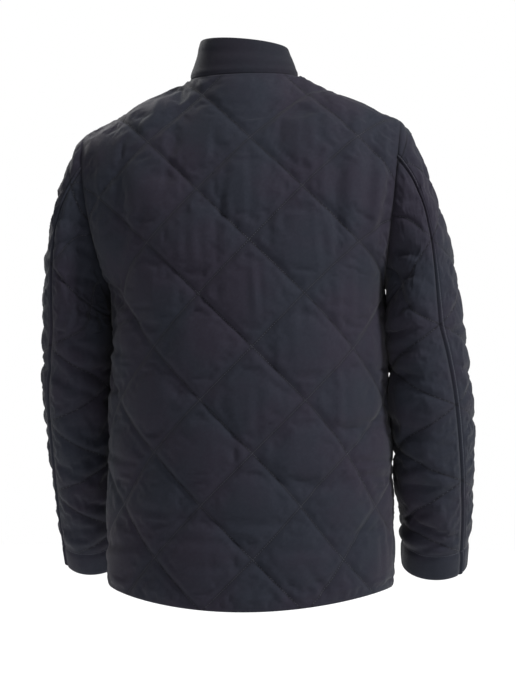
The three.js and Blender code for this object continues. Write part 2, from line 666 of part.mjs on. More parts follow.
// A closed bar through rings of as many points, each ring flat enough to be capped from its first point.
function bar(rings, sign) {
  const positions = [];
  const add = (...corners) => {
    for (const p of sign > 0 ? corners : [corners[0], corners[2], corners[1]]) positions.push(p.x, p.y, p.z);
  };
  const count = rings[0].length;
  for (let i = 0; i < rings.length - 1; i++)
    for (let k = 0; k < count; k++) {
      const m = (k + 1) % count;
      add(rings[i][k], rings[i][m], rings[i + 1][m]);
      add(rings[i][k], rings[i + 1][m], rings[i + 1][k]);
    }
  const [low, high] = [rings[0], rings[rings.length - 1]];
  for (const [a, b, c, d] of [[0, 1, 4, 5], [1, 2, 3, 4]]) {
    add(low[a], low[c], low[b]);
    add(low[a], low[d], low[c]);
    add(high[a], high[b], high[c]);
    add(high[a], high[c], high[d]);
  }
  const geometry = new THREE.BufferGeometry();
  geometry.setAttribute("position", new THREE.Float32BufferAttribute(positions, 3));
  return mergeVertices(geometry, 1e-4);
}

function solidOf(geometry) {
  const bare = geometry.index ? geometry.toNonIndexed() : geometry.clone();
  for (const name of ["normal", "uv"]) bare.deleteAttribute(name);
  const merged = mergeVertices(bare, 1e-4);
  const triVerts = new Uint32Array(merged.index.array);
  return new wasm.Manifold(new wasm.Mesh({ numProp: 3, vertProperties: merged.attributes.position.array, triVerts }));
}

function geometryOf(solid) {
  const mesh = solid.getMesh();
  const geometry = new THREE.BufferGeometry();
  geometry.setAttribute("position", new THREE.BufferAttribute(mesh.vertProperties, 3));
  return geometry.setIndex(new THREE.BufferAttribute(mesh.triVerts, 1));
}

function roundedBox(width, height, radius) {
  const [w, h] = [width / 2 - radius, height / 2 - radius];
  const shape = new THREE.Shape();
  for (const [k, [x, y]] of [[w, h], [-w, h], [-w, -h], [w, -h]].entries())
    shape.absarc(x, y, radius, (k * Math.PI) / 2, ((k + 1) * Math.PI) / 2);
  return shape;
}

// The slider in its own frame: x across, -y away from the zip, z up it, and y 0 the plate's face.
function sliderSolid() {
  const plate = new THREE.ExtrudeGeometry(roundedBox(slider.width, slider.length, 2), {
    depth: slider.plate,
    bevelEnabled: false,
    curveSegments: 4,
  });
  plate.rotateX(-Math.PI / 2);
  const side = new THREE.Shape();
  side.moveTo(-0.5, -slider.halfHeight);
  for (const k of steps(12)) {
    const turn = Math.PI * (k / 12 - 0.5);
    const flat = (x) => Math.sign(x) * Math.abs(x) ** (2 / 3);
    side.lineTo(slider.reach * flat(Math.cos(turn)), slider.halfHeight * flat(Math.sin(turn)));
  }
  side.lineTo(-0.5, slider.halfHeight);
  const hole = new THREE.Path();
  const { depth, halfHeight } = bridgeHole;
  for (const [k, [x, z]] of [[0, -halfHeight], [0, halfHeight], [depth, halfHeight], [depth, -halfHeight]].entries())
    if (k) hole.lineTo(x, z);
    else hole.moveTo(x, z);
  side.holes.push(hole);
  const bridge = new THREE.ExtrudeGeometry(side, { depth: slider.bridge, bevelEnabled: false });
  bridge.translate(0, 0, -slider.bridge / 2);
  // The drawing's x is the way out from the plate and its y the way up, and the bridge's width is across.
  bridge.applyMatrix4(new THREE.Matrix4().makeBasis(point(0, -1, 0), point(0, 0, 1), point(-1, 0, 0)));
  return geometryOf(solidOf(plate).add(solidOf(bridge)));
}

// The pull tab in the frame of its pivot, hanging down: a ring at the top and a slot in the grip.
function pullSolid() {
  const half = pull.width / 2;
  const bar = pull.thickness / 2;
  const shape = new THREE.Shape();
  shape.moveTo(half - 1.2, bar);
  shape.lineTo(-half + 1.2, bar);
  shape.quadraticCurveTo(-half, bar, -half, bar - 1.2);
  shape.lineTo(-half, -pull.length + 3);
  shape.absarc(-half + 3, -pull.length + 3, 3, Math.PI, 1.5 * Math.PI);
  shape.absarc(half - 3, -pull.length + 3, 3, 1.5 * Math.PI, 2 * Math.PI);
  shape.lineTo(half, bar - 1.2);
  shape.quadraticCurveTo(half, bar, half - 1.2, bar);
  const ring = new THREE.Path();
  const ringHalf = pull.ringHole / 2;
  ring.moveTo(-ringHalf, -bar);
  ring.lineTo(-ringHalf, -pull.ringEnd);
  ring.lineTo(ringHalf, -pull.ringEnd);
  ring.lineTo(ringHalf, -bar);
  const slot = new THREE.Path();
  slot.absarc(0, -10, 1.1, 0, Math.PI, false);
  slot.absarc(0, -pull.length + 5, 1.1, Math.PI, 2 * Math.PI, false);
  shape.holes.push(ring, slot);
  const tab = new THREE.ExtrudeGeometry(shape, { depth: pull.thickness, bevelEnabled: false, curveSegments: 5 });
  tab.translate(0, 0, -pull.thickness / 2);
  tab.rotateX(Math.PI / 2);
  for (const name of ["normal", "uv"]) tab.deleteAttribute(name);
  return mergeVertices(tab, 1e-4);
}

// Materials and the finished group
const cloth = new THREE.MeshStandardMaterial({ color: 0x2b2d38, roughness: 0.85 });
const tapeCloth = new THREE.MeshStandardMaterial({ color: 0x1c1e26, roughness: 0.9 });
const metal = new THREE.MeshStandardMaterial({ color: 0x50535a, roughness: 0.35, metalness: 1 });

const jacket = new THREE.Group();
function place(name, geometry, material, parent = jacket) {
  const mesh = new THREE.Mesh(geometry, material);
  mesh.name = name;
  parent.add(mesh);
}

for (const [name, wall] of Object.entries(walls)) place(name, wall.geometry, cloth);
place("zip_tape_left", zipTape(1), tapeCloth);
place("zip_tape_right", zipTape(-1), tapeCloth);

// The slider sits on the zip part of the way up the collar, turned to lie along it.
const zipSpot = (i) => walls.collar.inner(i, 0).lerp(walls.collar.inner(i, collarPanel.end), 0.5);
const [zipLow, zipHigh] = [zipSpot(0), zipSpot(collarRows)];
const zipUp = zipHigh.clone().sub(zipLow).setX(0).normalize();
const zipOut = crossOf(zipUp, point(-1, 0, 0));
const sliderPlace = new THREE.Group();
sliderPlace.position.copy(moved(zipLow.clone().lerp(zipHigh, slider.upTheCollar), zipOut, slider.plate));
sliderPlace.rotation.x = Math.atan2(zipUp.y, zipUp.z) * -1;
jacket.add(sliderPlace);
place("zip_slider", sliderSolid(), metal, sliderPlace);
const pivot = new THREE.Group();
pivot.position.set(0, -pull.pivotOut, -pull.pivotDown);
sliderPlace.add(pivot);
place("zip_pull", pullSolid(), metal, pivot);

export default jacket;
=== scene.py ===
# A quilted jacket in the form it has when worn, hollow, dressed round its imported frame.
# Shapes are worked out in millimetres and placed in metres; +Z is up, the back faces +Y.
import math

import bmesh
import bpy
import numpy as np
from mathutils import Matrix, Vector


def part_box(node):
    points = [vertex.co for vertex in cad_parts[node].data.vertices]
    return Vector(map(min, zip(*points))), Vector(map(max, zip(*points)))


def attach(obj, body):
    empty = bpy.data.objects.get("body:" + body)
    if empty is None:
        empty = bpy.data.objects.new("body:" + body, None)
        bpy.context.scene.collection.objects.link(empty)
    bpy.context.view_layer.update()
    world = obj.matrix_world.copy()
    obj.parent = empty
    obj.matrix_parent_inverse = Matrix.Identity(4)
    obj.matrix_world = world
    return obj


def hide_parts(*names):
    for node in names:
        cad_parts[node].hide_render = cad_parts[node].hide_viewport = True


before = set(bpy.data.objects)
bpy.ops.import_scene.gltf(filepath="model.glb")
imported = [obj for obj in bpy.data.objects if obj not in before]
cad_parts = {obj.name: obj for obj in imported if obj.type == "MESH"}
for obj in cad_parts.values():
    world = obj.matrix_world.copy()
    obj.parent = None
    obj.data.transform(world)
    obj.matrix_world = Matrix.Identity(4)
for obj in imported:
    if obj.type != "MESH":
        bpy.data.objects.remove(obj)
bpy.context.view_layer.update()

mm = 0.001
print("frame loaded")


# Small helpers for shapes
def ease(t):
    t = np.clip(t, 0, 1)
    return t * t * (3 - 2 * t)


def mix(a, b, t):
    return a + (b - a) * t


def unit(v):
    return v / np.maximum(np.linalg.norm(v, axis=-1, keepdims=True), 1e-9)


def point(x, y, z):
    x, y, z = np.broadcast_arrays(x, y, z)
    return np.stack([x, y, z], axis=-1).astype(float)


def hermite(a, slopeA, b, slopeB, t):
    t2, t3 = t * t, t * t * t
    ends = (2 * t3 - 3 * t2 + 1) * a + (3 * t2 - 2 * t3) * b
    return ends + (t3 - 2 * t2 + t) * slopeA + (t3 - t2) * slopeB


# A table's columns at one value of its key column, on a smooth curve through the rows.
def rowAt(table, key, value):
    keys = table[key]
    i = int(np.searchsorted(keys[1:-1], value))
    before, after = max(i - 1, 0), min(i + 2, len(keys) - 1)
    span = keys[i + 1] - keys[i]
    t = (value - keys[i]) / span
    row = {}
    for column, v in table.items():
        slopeA = (v[i + 1] - v[before]) / (keys[i + 1] - keys[before]) * span
        slopeB = (v[after] - v[i]) / (keys[after] - keys[i]) * span
        row[column] = hermite(v[i], slopeA, v[i + 1], slopeB, t)
    return row


def distancesAlong(line):
    return np.concatenate([[0], np.cumsum(np.linalg.norm(np.diff(line, axis=0), axis=1))])


# A line's columns at places between its points, whose own places are given.
def onLine(wanted, lengths, line):
    return np.stack([np.interp(wanted, lengths, column) for column in line.T], axis=-1)


# The points at shares of a polyline's length, past a first stretch of it.
def alongLine(line, shares, skipped=0):
    lengths = distancesAlong(line)
    return onLine(mix(skipped, lengths[-1], np.asarray(shares, float)), lengths, line)


# Every few numbers up to a count, with the last one always kept.
def thinned(count, step):
    return np.unique(np.append(np.arange(0, count, step), count - 1))


# The four-cornered faces between the neighbours in a grid of point numbers.
def quads(index):
    corners = [index[:-1, :-1], index[:-1, 1:], index[1:, 1:], index[1:, :-1]]
    return np.stack(corners, axis=-1).reshape(-1, 4)


def addObject(name, data):
    made = bpy.data.objects.new(name, data)
    bpy.context.scene.collection.objects.link(made)
    return made


def afterModifiers(made):
    return made.evaluated_get(bpy.context.evaluated_depsgraph_get())


# Puts what an object's modifiers make in place of its mesh.
def applyModifiers(made):
    solid = bpy.data.meshes.new_from_object(afterModifiers(made))
    made.modifiers.clear()
    made.data = solid
    return solid


def setMaterial(mesh, material):
    mesh.materials.clear()
    mesh.materials.append(material)


# Smooth noise from -1 to 1 over two coordinates, the same for the same seed.
def softNoise(u, v, seed):
    size = 64  # cells before it repeats
    table = np.random.default_rng(seed).uniform(-1, 1, (size, size))
    u0, v0 = np.floor(u).astype(int), np.floor(v).astype(int)
    fu, fv = ease(u - u0), ease(v - v0)
    at = lambda a, b: table[(u0 + a) % size, (v0 + b) % size]
    return mix(mix(at(0, 0), at(1, 0), fu), mix(at(0, 1), at(1, 1), fu), fv)


# The cut of the body, as the frame's solids have it
body = {
    "armpitZ": -290,
    "hemSideZ": -698,
    "hemDrop": {"back": 24, "front": 6},
    "middleY": 14,
    "zipHalfGap": 4.5,
    "neckHalfWidth": 75,
    "neckY": {"back": 70, "front": -86},
    "neckFrontDrop": 70,
    "neckSlope": {"back": 0.53, "front": 0.3},
    "shoulderTip": (217, 12, -68),
    "shoulderRise": -3,
    "shoulderCrowding": 1.35,
    "armholeReach": {"back": 64, "front": -60},
    "armholeOut": {"back": 8, "front": -6},
    "leanFromZ": -420,
    "leanToZ": -40,
    "lean": 10,
    "tilt": 0.03,
    "sectionPoints": 49,
    "overShoulder": 1.7,
    "lowSlope": {"across": 0.3, "riseAtMiddle": 1.15, "riseAtSide": 1.8},
    "highSlope": {"riseAtNeck": 0.9, "inwardAtShoulder": 2.0},
}
torso = {
    "z": (-730, -620, -510, -400, -290),
    "halfWidth": (197, 196, 193, 189, 187),
    "back": (150, 153, 157, 160, 158),
    "front": (-128, -131, -133, -132, -126),
    "round": (2.0, 2.0, 2.05, 2.15, 2.3),
}
grid = {
    "fine": 6,
    "lowerRows": 24,
    "upperRows": 18,
    "halfColumns": 14,
    "neckColumns": 4,
    "capRows": 12,
    "armRows": 16,
    "cuffRows": 2,
    "backSeam": 6,
    "frontSeam": 22,
    "insideStep": 4,
    "smoothing": 170,
    "seamStep": 0.075,
    "besideEdge": (0.02, 0.06, 0.11),
}
lowerRows, upperRows = grid["lowerRows"], grid["upperRows"]
halfColumns, neckColumns = grid["halfColumns"], grid["neckColumns"]
capRows, armRows, cuffRows = grid["capRows"], grid["armRows"], grid["cuffRows"]
sleeveColumns = 2 * upperRows
topRow = lowerRows + upperRows
fine = grid["fine"]


# Places along a panel in its coarse divisions, with a few more close to a free edge.
def places(count, atStart=False, atEnd=False):
    even = np.arange(count * fine + 1) / fine
    close = np.array(grid["besideEdge"])
    extra = ([close] if atStart else []) + ([count - close] if atEnd else [])
    return np.unique(np.concatenate([even, *extra]))


def hemZ(side, turn):
    return body["hemSideZ"] - body["hemDrop"][side] * np.cos(turn) ** 2


# One quarter of a body section, from the centre line round to the side, at a share of the height.
def quarterSection(side, share):
    line = []
    for turn in np.linspace(0, math.pi / 2, body["sectionPoints"]):
        z = mix(hemZ(side, turn), body["armpitZ"], share)
        row = rowAt(torso, "z", z)
        power = 2 / row["round"]
        x = row["halfWidth"] * math.sin(turn) ** power
        depth = row[side] - body["middleY"]
        line.append((x, body["middleY"] + depth * max(0, math.cos(turn)) ** power, z))
    return np.array(line)


# The collar seam: 0 is the centre back, 90 degrees the shoulder and 180 the centre front.
def neckSeam(turn):
    across, along = np.sin(turn), np.cos(turn)
    depth = np.where(along > 0, body["neckY"]["back"], -body["neckY"]["front"])
    drop = np.where(along > 0, 0, -body["neckFrontDrop"] * (1 - across))
    return point(body["neckHalfWidth"] * across, depth * along, drop)


def shoulderSeam(t):
    x, y, z = body["shoulderTip"]
    rise = body["shoulderRise"] * np.sin(math.pi * t)
    return point(mix(body["neckHalfWidth"], x, t), mix(0, y, t), mix(0, z, t) + rise)


# The posture, put on every point of the cloth at the end.
def lean(p):
    up = ease((p[..., 2] - body["leanFromZ"]) / (body["leanToZ"] - body["leanFromZ"]))
    x = p[..., 0] + body["lean"] * (up - 1)
    return point(x, p[..., 1], p[..., 2] - body["tilt"] * p[..., 0] * up)


# Half of the back, or one front, as rows of points from the hem up and from the centre line out.
def halfPanel(side, rowPlaces, columnPlaces):
    skipped = neckStart = 0
    if side == "front":
        skipped = body["zipHalfGap"]
        neckStart = math.pi - math.asin(skipped / body["neckHalfWidth"])
    neckShare = neckColumns / halfColumns
    u = columnPlaces / halfColumns
    shares = rowPlaces[rowPlaces <= lowerRows] / lowerRows
    lower = [alongLine(quarterSection(side, share), u, skipped) for share in shares]
    armpitLine = lower[-1]
    lowSlope, highSlope = body["lowSlope"], body["highSlope"]
    onNeck = neckSeam(mix(neckStart, math.pi / 2, np.clip(u / neckShare, 0, 1)))
    away = np.clip((1 - u) / (1 - neckShare), 0, 1) ** body["shoulderCrowding"]
    topLine = np.where((u < neckShare)[:, None], onNeck, shoulderSeam(1 - away))
    k = rowPlaces[rowPlaces > lowerRows] - lowerRows
    turn = math.pi * k / upperRows
    climb = (1 - np.cos(turn)) / 2
    t = np.linspace(0, 1, 25)[:, None]
    columns = []
    for j, share in enumerate(u):
        low, high = armpitLine[j], topLine[j]
        across, inward, rise = high - low
        over = ease(share / (body["overShoulder"] * neckShare))
        steep = mix(lowSlope["riseAtMiddle"], lowSlope["riseAtSide"], over)
        slopeLow = point(lowSlope["across"] * across, 0, rise * steep)
        neckInward = abs(rise) * np.sign(inward) * body["neckSlope"][side]
        slopeNeck = point(across, neckInward, rise * highSlope["riseAtNeck"])
        slopeHigh = mix(slopeNeck, point(across, highSlope["inwardAtShoulder"] * inward, 0), over)
        line = hermite(low, slopeLow, high, slopeHigh, t)
        columns.append(alongLine(line, mix(k / upperRows, climb, share * share)))
        if j == len(u) - 1:
            onEdge = alongLine(line, climb)
    reach, out = body["armholeReach"][side], body["armholeOut"][side]
    straight = mix(armpitLine[-1], shoulderSeam(1.0), climb[:, None])
    edge = straight + point(out * np.sin(turn), reach * np.sin(turn), 0)
    correction = edge - onEdge
    upper = np.stack(columns, axis=1) + (u**3)[None, :, None] * correction[:, None, :]
    return np.concatenate([np.array(lower), upper])


def mirrored(p):
    return p * np.array([-1, 1, 1])


# Outward normals of a grid of points; on a ring the first and last columns are one.
def normalsOf(p, facing, ring=False):
    if ring:
        wide = np.concatenate([p[:, -2:-1], p, p[:, 1:2]], axis=1)
        across = wide[:, 2:] - wide[:, :-2]
    else:
        across = np.gradient(p, axis=1)
    along = np.gradient(p, axis=0)
    return facing * unit(np.cross(across, along))


# Averages a grid with its neighbours, with its rim held.
def smoothed(values, rounds):
    values = values.copy()
    for _ in range(rounds):
        beside = values[:-2, 1:-1] + values[2:, 1:-1] + values[1:-1, :-2] + values[1:-1, 2:]
        values[1:-1, 1:-1] = 0.5 * values[1:-1, 1:-1] + 0.125 * beside
    return values


# Soft folds that the frame's solids have too. On the body each has a centre, its length and its
# width in millimetres, its depth (a trough is negative) and its turn from upright in degrees.
bodyFoldColumns = ("x", "z", "length", "width", "depth", "turn")
bodyFolds = {
    "back": [
        (-158, -165, 130, 13, 5, -3),
        (-140, -170, 120, 12, -4.5, -2),
        (172, -300, 120, 15, -7, -16),
        (150, -165, 90, 11, -3.5, 4),
        (20, -185, 110, 12, -2, 0),
        (-150, -480, 70, 10, -4, 84),
        (40, -600, 150, 14, -3, 93),
        (-70, -545, 90, 12, -2.5, 86),
    ],
    "front": [
        (140, -180, 120, 14, -5, 12),
        (-138, -185, 110, 14, -5, -10),
        (95, -520, 110, 13, -3, 80),
        (-105, -470, 100, 13, -3, 98),
    ],
}


def foldsOf(columns, rows):
    return [dict(zip(columns, row)) for row in rows]


# A smooth hump: 1 in its middle and next to nothing beyond 2.
def hump(x, y=0):
    return np.exp(-(x**2) - y**2)


def foldDepth(folds, p):
    depth = np.zeros(p.shape[:-1])
    for fold in folds:
        dx, dz, turn = p[..., 0] - fold["x"], p[..., 2] - fold["z"], math.radians(fold["turn"])
        across = dx * math.cos(turn) - dz * math.sin(turn)
        along = dx * math.sin(turn) + dz * math.cos(turn)
        reach = 0.55 * fold["length"]  # a fold fades out before its ends
        depth += fold["depth"] * hump(across / fold["width"], along / reach)
    return depth


# A panel is a grid of points with its normals and its places in coarse divisions, rows then columns.
def bodyPanel(p, side, rowPlaces, columnPlaces):
    i, j = rowPlaces[:, None], columnPlaces[None, :]
    p = smoothed(p, grid["smoothing"])
    inside = ease(np.minimum(np.minimum(i, topRow - i), np.minimum(j, columnPlaces[-1] - j)) / 2)
    depth = foldDepth(foldsOf(bodyFoldColumns, bodyFolds[side]), p) * inside
    p = p + normalsOf(p, 1) * depth[..., None]
    return {"p": p, "n": normalsOf(p, 1), "rows": rowPlaces, "facing": 1}


bodyRows = places(topRow, atStart=True)
halfPlaces = places(halfColumns)
frontPlaces = places(halfColumns, atStart=True)
backHalf = halfPanel("back", bodyRows, halfPlaces)
wholeBack = np.concatenate([backHalf[:, :0:-1], mirrored(backHalf)], axis=1)
left = halfPanel("front", bodyRows, frontPlaces)
right = mirrored(left)[:, ::-1]
panels = {
    "back": bodyPanel(wholeBack, "back", bodyRows, places(2 * halfColumns)),
    "front_left": bodyPanel(left, "front", bodyRows, frontPlaces),
    "front_right": bodyPanel(right, "front", bodyRows, halfColumns - frontPlaces[::-1]),
}
print("body panels laid out")

# The sleeves: sections below the armpit, and folds at heights and places round the sleeve
sleeveTables = {
    "left": {
        "along": (0, 0.25, 0.5, 0.75, 1),
        "x": (239, 244.5, 246, 249, 248),
        "y": (14, -4, -40, -86, -134),
        "z": (-340, -422, -506, -592, -677),
        "across": (45, 47.5, 46, 44, 43),
        "foreAft": (66, 61, 57, 52, 46),
        "seam": (54, 45, 38, 34, 32),
    },
    "right": {
        "along": (0, 0.25, 0.5, 0.75, 1),
        "x": (242, 248.5, 252, 253, 248),
        "y": (16, 8, -14, -46, -82),
        "z": (-340, -422, -506, -592, -676),
        "across": (48, 51.5, 51, 46.5, 44),
        "foreAft": (66, 61, 57, 52, 47),
        "seam": (60, 49, 43, 38, 36),
    },
}
sleeve = {
    "frontSeamTurn": 228,
    "cuffDepth": 38,
    "outAtTip": 0.42,
    "outUnderArm": 1.7,
    "back": 0.12,
    "down": 0.8,
    "armLength": 400,
    "foldFree": {"least": 0.15, "from": 0.6, "over": 0.35},
}
# On a sleeve each fold has its height and place round the sleeve, the degrees it spans, its width
# and depth, and how far it climbs for each degree.
sleeveFoldColumns = ("z", "turn", "span", "width", "depth", "climb")
sleeveFolds = {
    "left": [
        (-215, 112, 42, 9, -5, 0.25),
        (-262, 150, 40, 8, -5, 0.3),
        (-345, 165, 46, 10, -6, 0.2),
        (-402, 175, 55, 10, -7, 0.05),
        (-452, 200, 50, 9, -6, -0.15),
        (-520, 150, 45, 9, -4, 0.3),
        (-600, 165, 40, 8, -4, -0.2),
        (-395, 20, 40, 9, -4, -0.2),
    ],
    "right": [
        (-160, 78, 34, 8, -5, 0.15),
        (-232, 128, 46, 9, -6, -0.3),
        (-285, 140, 44, 8, -5, -0.25),
        (-352, 150, 52, 10, -7, -0.1),
        (-405, 160, 50, 10, -7, 0.1),
        (-470, 175, 50, 9, -5, 0.2),
        (-560, 120, 42, 9, -4, 0.15),
        (-612, 135, 46, 8, -5, 0.35),
        (-405, 5, 36, 9, -3.5, 0.2),
    ],
}


def sleeveRing(side, along):
    sign = 1 if side == "left" else -1
    table = sleeveTables[side]
    before, row, after = (rowAt(table, "along", along + step) for step in (-0.01, 0, 0.01))
    centre = lambda row: np.array([sign * row["x"], row["y"], row["z"]])
    axis = unit(centre(after) - centre(before))
    out = np.array([sign, 0, 0.0])
    out = unit(out - axis * out.dot(axis))
    rear = unit(np.cross(out, axis)) * sign

    def at(degrees):
        turn = np.radians(degrees)[:, None]
        return centre(row) + out * row["across"] * np.cos(turn) + rear * row["foreAft"] * np.sin(turn)

    return at, axis, row["seam"]


# The angle round the sleeve of a column, counted from the shoulder line towards the back.
def columnTurn(column, seam):
    underWidth = grid["frontSeam"] - grid["backSeam"]
    topWidth = sleeveColumns - underWidth
    frontTurn = sleeve["frontSeamTurn"]
    first = mix(frontTurn - 360, seam, (column - grid["frontSeam"] + sleeveColumns) / topWidth)
    middle = mix(seam, frontTurn, (column - grid["backSeam"]) / underWidth)
    after = mix(frontTurn, seam + 360, (column - grid["frontSeam"]) / topWidth)
    before = [column < grid["backSeam"], column <= grid["frontSeam"]]
    return np.select(before, [first, middle], after)


def sleeveFoldDepth(folds, z, degrees):
    limits = sleeve["foldFree"]  # folds are pressed flat where the sleeve lies against the body
    against = ease((-np.cos(np.radians(degrees)) - limits["from"]) / limits["over"])
    depth = np.zeros(z.shape)
    for fold in folds:
        around = degrees - fold["turn"] - 360 * np.round((degrees - fold["turn"]) / 360)
        along = z - fold["z"] - fold["climb"] * around
        depth += fold["depth"] * hump(along / fold["width"], around / fold["span"])
    return depth * mix(1, limits["least"], against)


# A ring's columns, closer together beside the back seam, where two rows of stitches lie.
def sleevePlaces():
    close, seam = np.arange(1, 10) * grid["seamStep"], grid["backSeam"]
    return np.unique(np.concatenate([places(sleeveColumns), seam - close, seam + close[:4]]))


# The armhole from the shoulder tip down the back and up the front, one point for each sleeve column.
def armholeOf(side):
    back, front = panels["back"]["p"], panels[f"front_{side}"]["p"]
    first = int(np.searchsorted(bodyRows, lowerRows))
    backEdge = back[first:, 0 if side == "left" else -1]
    frontEdge = front[first:, -1 if side == "left" else 0]
    return np.concatenate([backEdge[::-1], frontEdge[1:]])


def sleevePanels(side):
    sign, facing = (1, -1) if side == "left" else (-1, 1)
    columns = sleevePlaces()
    rowPlaces = places(capRows + armRows + cuffRows, atEnd=True)
    at, axis, seam = sleeveRing(side, 0)
    turns = columnTurn(columns, seam)
    start = onLine(columns, places(sleeveColumns), armholeOf(side))
    end = at(turns)
    far = np.linalg.norm(end - start, axis=1, keepdims=True)
    under = (1 - np.cos(np.radians(turns))) / 2
    out = mix(sleeve["outAtTip"], sleeve["outUnderArm"], under)
    leave = unit(point(sign * out, sleeve["back"] * np.sin(np.radians(turns)), -sleeve["down"])) * far
    rows = []
    cuffShare = sleeve["cuffDepth"] / sleeve["armLength"]
    for i in rowPlaces:
        if i <= capRows:
            share = ((i / capRows) ** mix(1, 0.5, under))[:, None]
            rows.append(hermite(start, leave, end, axis * far, share))
            continue
        onArm = min(i - capRows, armRows)
        onCuff = max(0, i - capRows - armRows)
        along = (1 - cuffShare) * onArm / armRows + cuffShare * onCuff / cuffRows
        ringAt, _, ringSeam = sleeveRing(side, along)
        rows.append(ringAt(columnTurn(columns, ringSeam)))
    p = np.array(rows)
    last = rowPlaces[-1]
    fade = ease((rowPlaces - 1) / 3) * ease((last - cuffRows - rowPlaces) / 2)
    folds = foldsOf(sleeveFoldColumns, sleeveFolds[side])
    depth = sleeveFoldDepth(folds, p[..., 2], turns[None, :]) * fade[:, None]
    p = p + normalsOf(p, facing, ring=True) * depth[..., None]
    n = normalsOf(p, facing, ring=True)
    made = {}
    first, second = (
        int(np.searchsorted(columns, grid[seam] - 1e-6)) for seam in ("backSeam", "frontSeam")
    )
    last = len(columns) - 1
    picks = {"under": np.arange(first, second + 1), "top": np.arange(second, last + first + 1) % last}
    for part, pick in picks.items():
        made[f"sleeve_{side}_{part}"] = {
            "p": p[:, pick],
            "n": n[:, pick],
            "rows": rowPlaces,
            "turns": turns[pick],
            "facing": facing,
        }
    return made


for side in ("left", "right"):
    panels.update(sleevePanels(side))
print("sleeves laid out")

# The collar stands on the neck seam and leans in.
collarShape = {
    "back": 50,
    "front": 43,
    "tilt": 0.09,
    "leanIn": 17,
    "bow": 0.8,
    "endWidth": 0.5,
    "rows": 4,
}


def collarPanel():
    left = panels["front_left"]["p"][-1]
    back = panels["back"]["p"][-1]
    right = panels["front_right"]["p"][-1]
    leftEnd = int(np.searchsorted(frontPlaces, neckColumns))
    shoulder = (halfColumns - neckColumns) * fine
    right = right[right.shape[0] - 1 - leftEnd :]
    line = np.concatenate([left[: leftEnd + 1], back[shoulder + 1 : -shoulder - 1], right])
    onFront = frontPlaces[: leftEnd + 1]
    onBack = neckColumns + np.arange(1, 2 * neckColumns * fine) / fine
    columns = np.concatenate([onFront, onBack, 4 * neckColumns - onFront[::-1]])
    rowPlaces = places(collarShape["rows"], atEnd=True)
    span = body["neckY"]["back"] - body["neckY"]["front"]
    toFront = np.clip((body["neckY"]["back"] - line[:, 1]) / span, 0, 1)
    height = mix(collarShape["back"], collarShape["front"], toFront) + collarShape["tilt"] * line[:, 0]
    fromEnd = np.minimum(columns, columns[-1] - columns) / collarShape["endWidth"]
    fromEnd = np.clip(fromEnd, 0, 1)
    x, y, z = line.T
    rows = []
    for share in rowPlaces / collarShape["rows"]:
        inward = collarShape["leanIn"] * share ** collarShape["bow"] / np.hypot(x, y)
        rows.append(point(x * (1 - inward * fromEnd), y * (1 - inward), z + height * share))
    p = np.array(rows)
    return {"p": p, "n": normalsOf(p, 1), "facing": 1}


panels["collar"] = collarPanel()


# Where panels are sewn, all of them get one normal, so that their edges meet.
def shareNormals():
    sums = {}
    rims = []
    for panel in panels.values():
        height, width = panel["p"].shape[:2]
        rim = [(i, j) for i in range(height) for j in (0, width - 1)]
        rim += [(i, j) for j in range(width) for i in (0, height - 1)]
        for i, j in set(rim):
            key = tuple(np.round(panel["p"][i, j] * 20).astype(int))
            rims.append((panel, i, j, key))
            sums[key] = sums.get(key, 0) + panel["n"][i, j]
    for panel, i, j, key in rims:
        panel["n"][i, j] = unit(sums[key])


shareNormals()

# Cloth, in millimetres: the plain wall's half thickness, how far quilting stands up, how it rises
# beside a stitched line, how a sewn seam sinks and how a free edge rounds over.
padding = {
    "halfWall": 1.3,
    "body": 6.0,
    "sleeve": 5.6,
    "collar": 1.5,
    "cuff": 1.2,
    "valley": 1.0,
    "beside": 3.6,
    "away": 26.0,
    "steepShare": 0.62,
    "seamSink": 1.6,
    "seamWidth": 3.4,
    "seamRise": 20,
    "seamStart": 0.04,
    "collarRise": 8,
    "rollOver": 3.4,
    "edgeShare": 0.08,
}
# The padding is pressed a little (a minus sign puffs it) where sleeves hang against the body.
pressed = {
    "body": 0.1,
    "left": 0.1,
    "right": -0.9,
    "armpitX": 187,
    "awayFromArmpit": 40,
    "sideX": 155,
    "sideWidth": 22,
    "sleeveFrom": 0.5,
    "sleeveOver": 0.35,
}
# Two rows of stitches hold a raised band along the back seam of each sleeve; these are places and
# sizes in millimetres from that seam.
twinSeam = {
    "band": 3.4,
    "bandWidth": 2.0,
    "raised": 1.5,
    "stitched": 6.8,
    "groove": 1.2,
    "grooveWidth": 1.3,
    "bandPadding": 0.05,
}
# The cuff is a plain band below a groove.
cuff = {"overLine": 4, "rise": 9, "groove": 0.9, "grooveWidth": 1.8}
quilting = {
    "body": {"wide": 141, "high": 141, "level": -370, "back": 24, "front": 0},
    "left": {"wide": 200, "high": 116, "level": -20},
    "right": {"wide": 200, "high": 112, "level": -110},
    "forwardShare": 0.7,
    "smoothing": 12,
    "straightFrom": -330,
    "straightOver": 110,
}
# Where the hanging cloth has drawn the back's stitched lines aside, and how far.
drawnAside = [
    {"over": -178, "up": -322, "reach": 55, "by": -13},
    {"over": -178, "up": -576, "reach": 55, "by": -13},
    {"over": 200, "up": -600, "reach": 95, "by": 32},
]


def lengthsDown(far):
    return np.concatenate([np.zeros((1, far.shape[1])), np.cumsum(far, axis=0)])


def steps(p, axis):
    return np.linalg.norm(np.diff(p, axis=axis), axis=2)


def lengthsOver(p):
    return lengthsDown(steps(p, 1).T).T


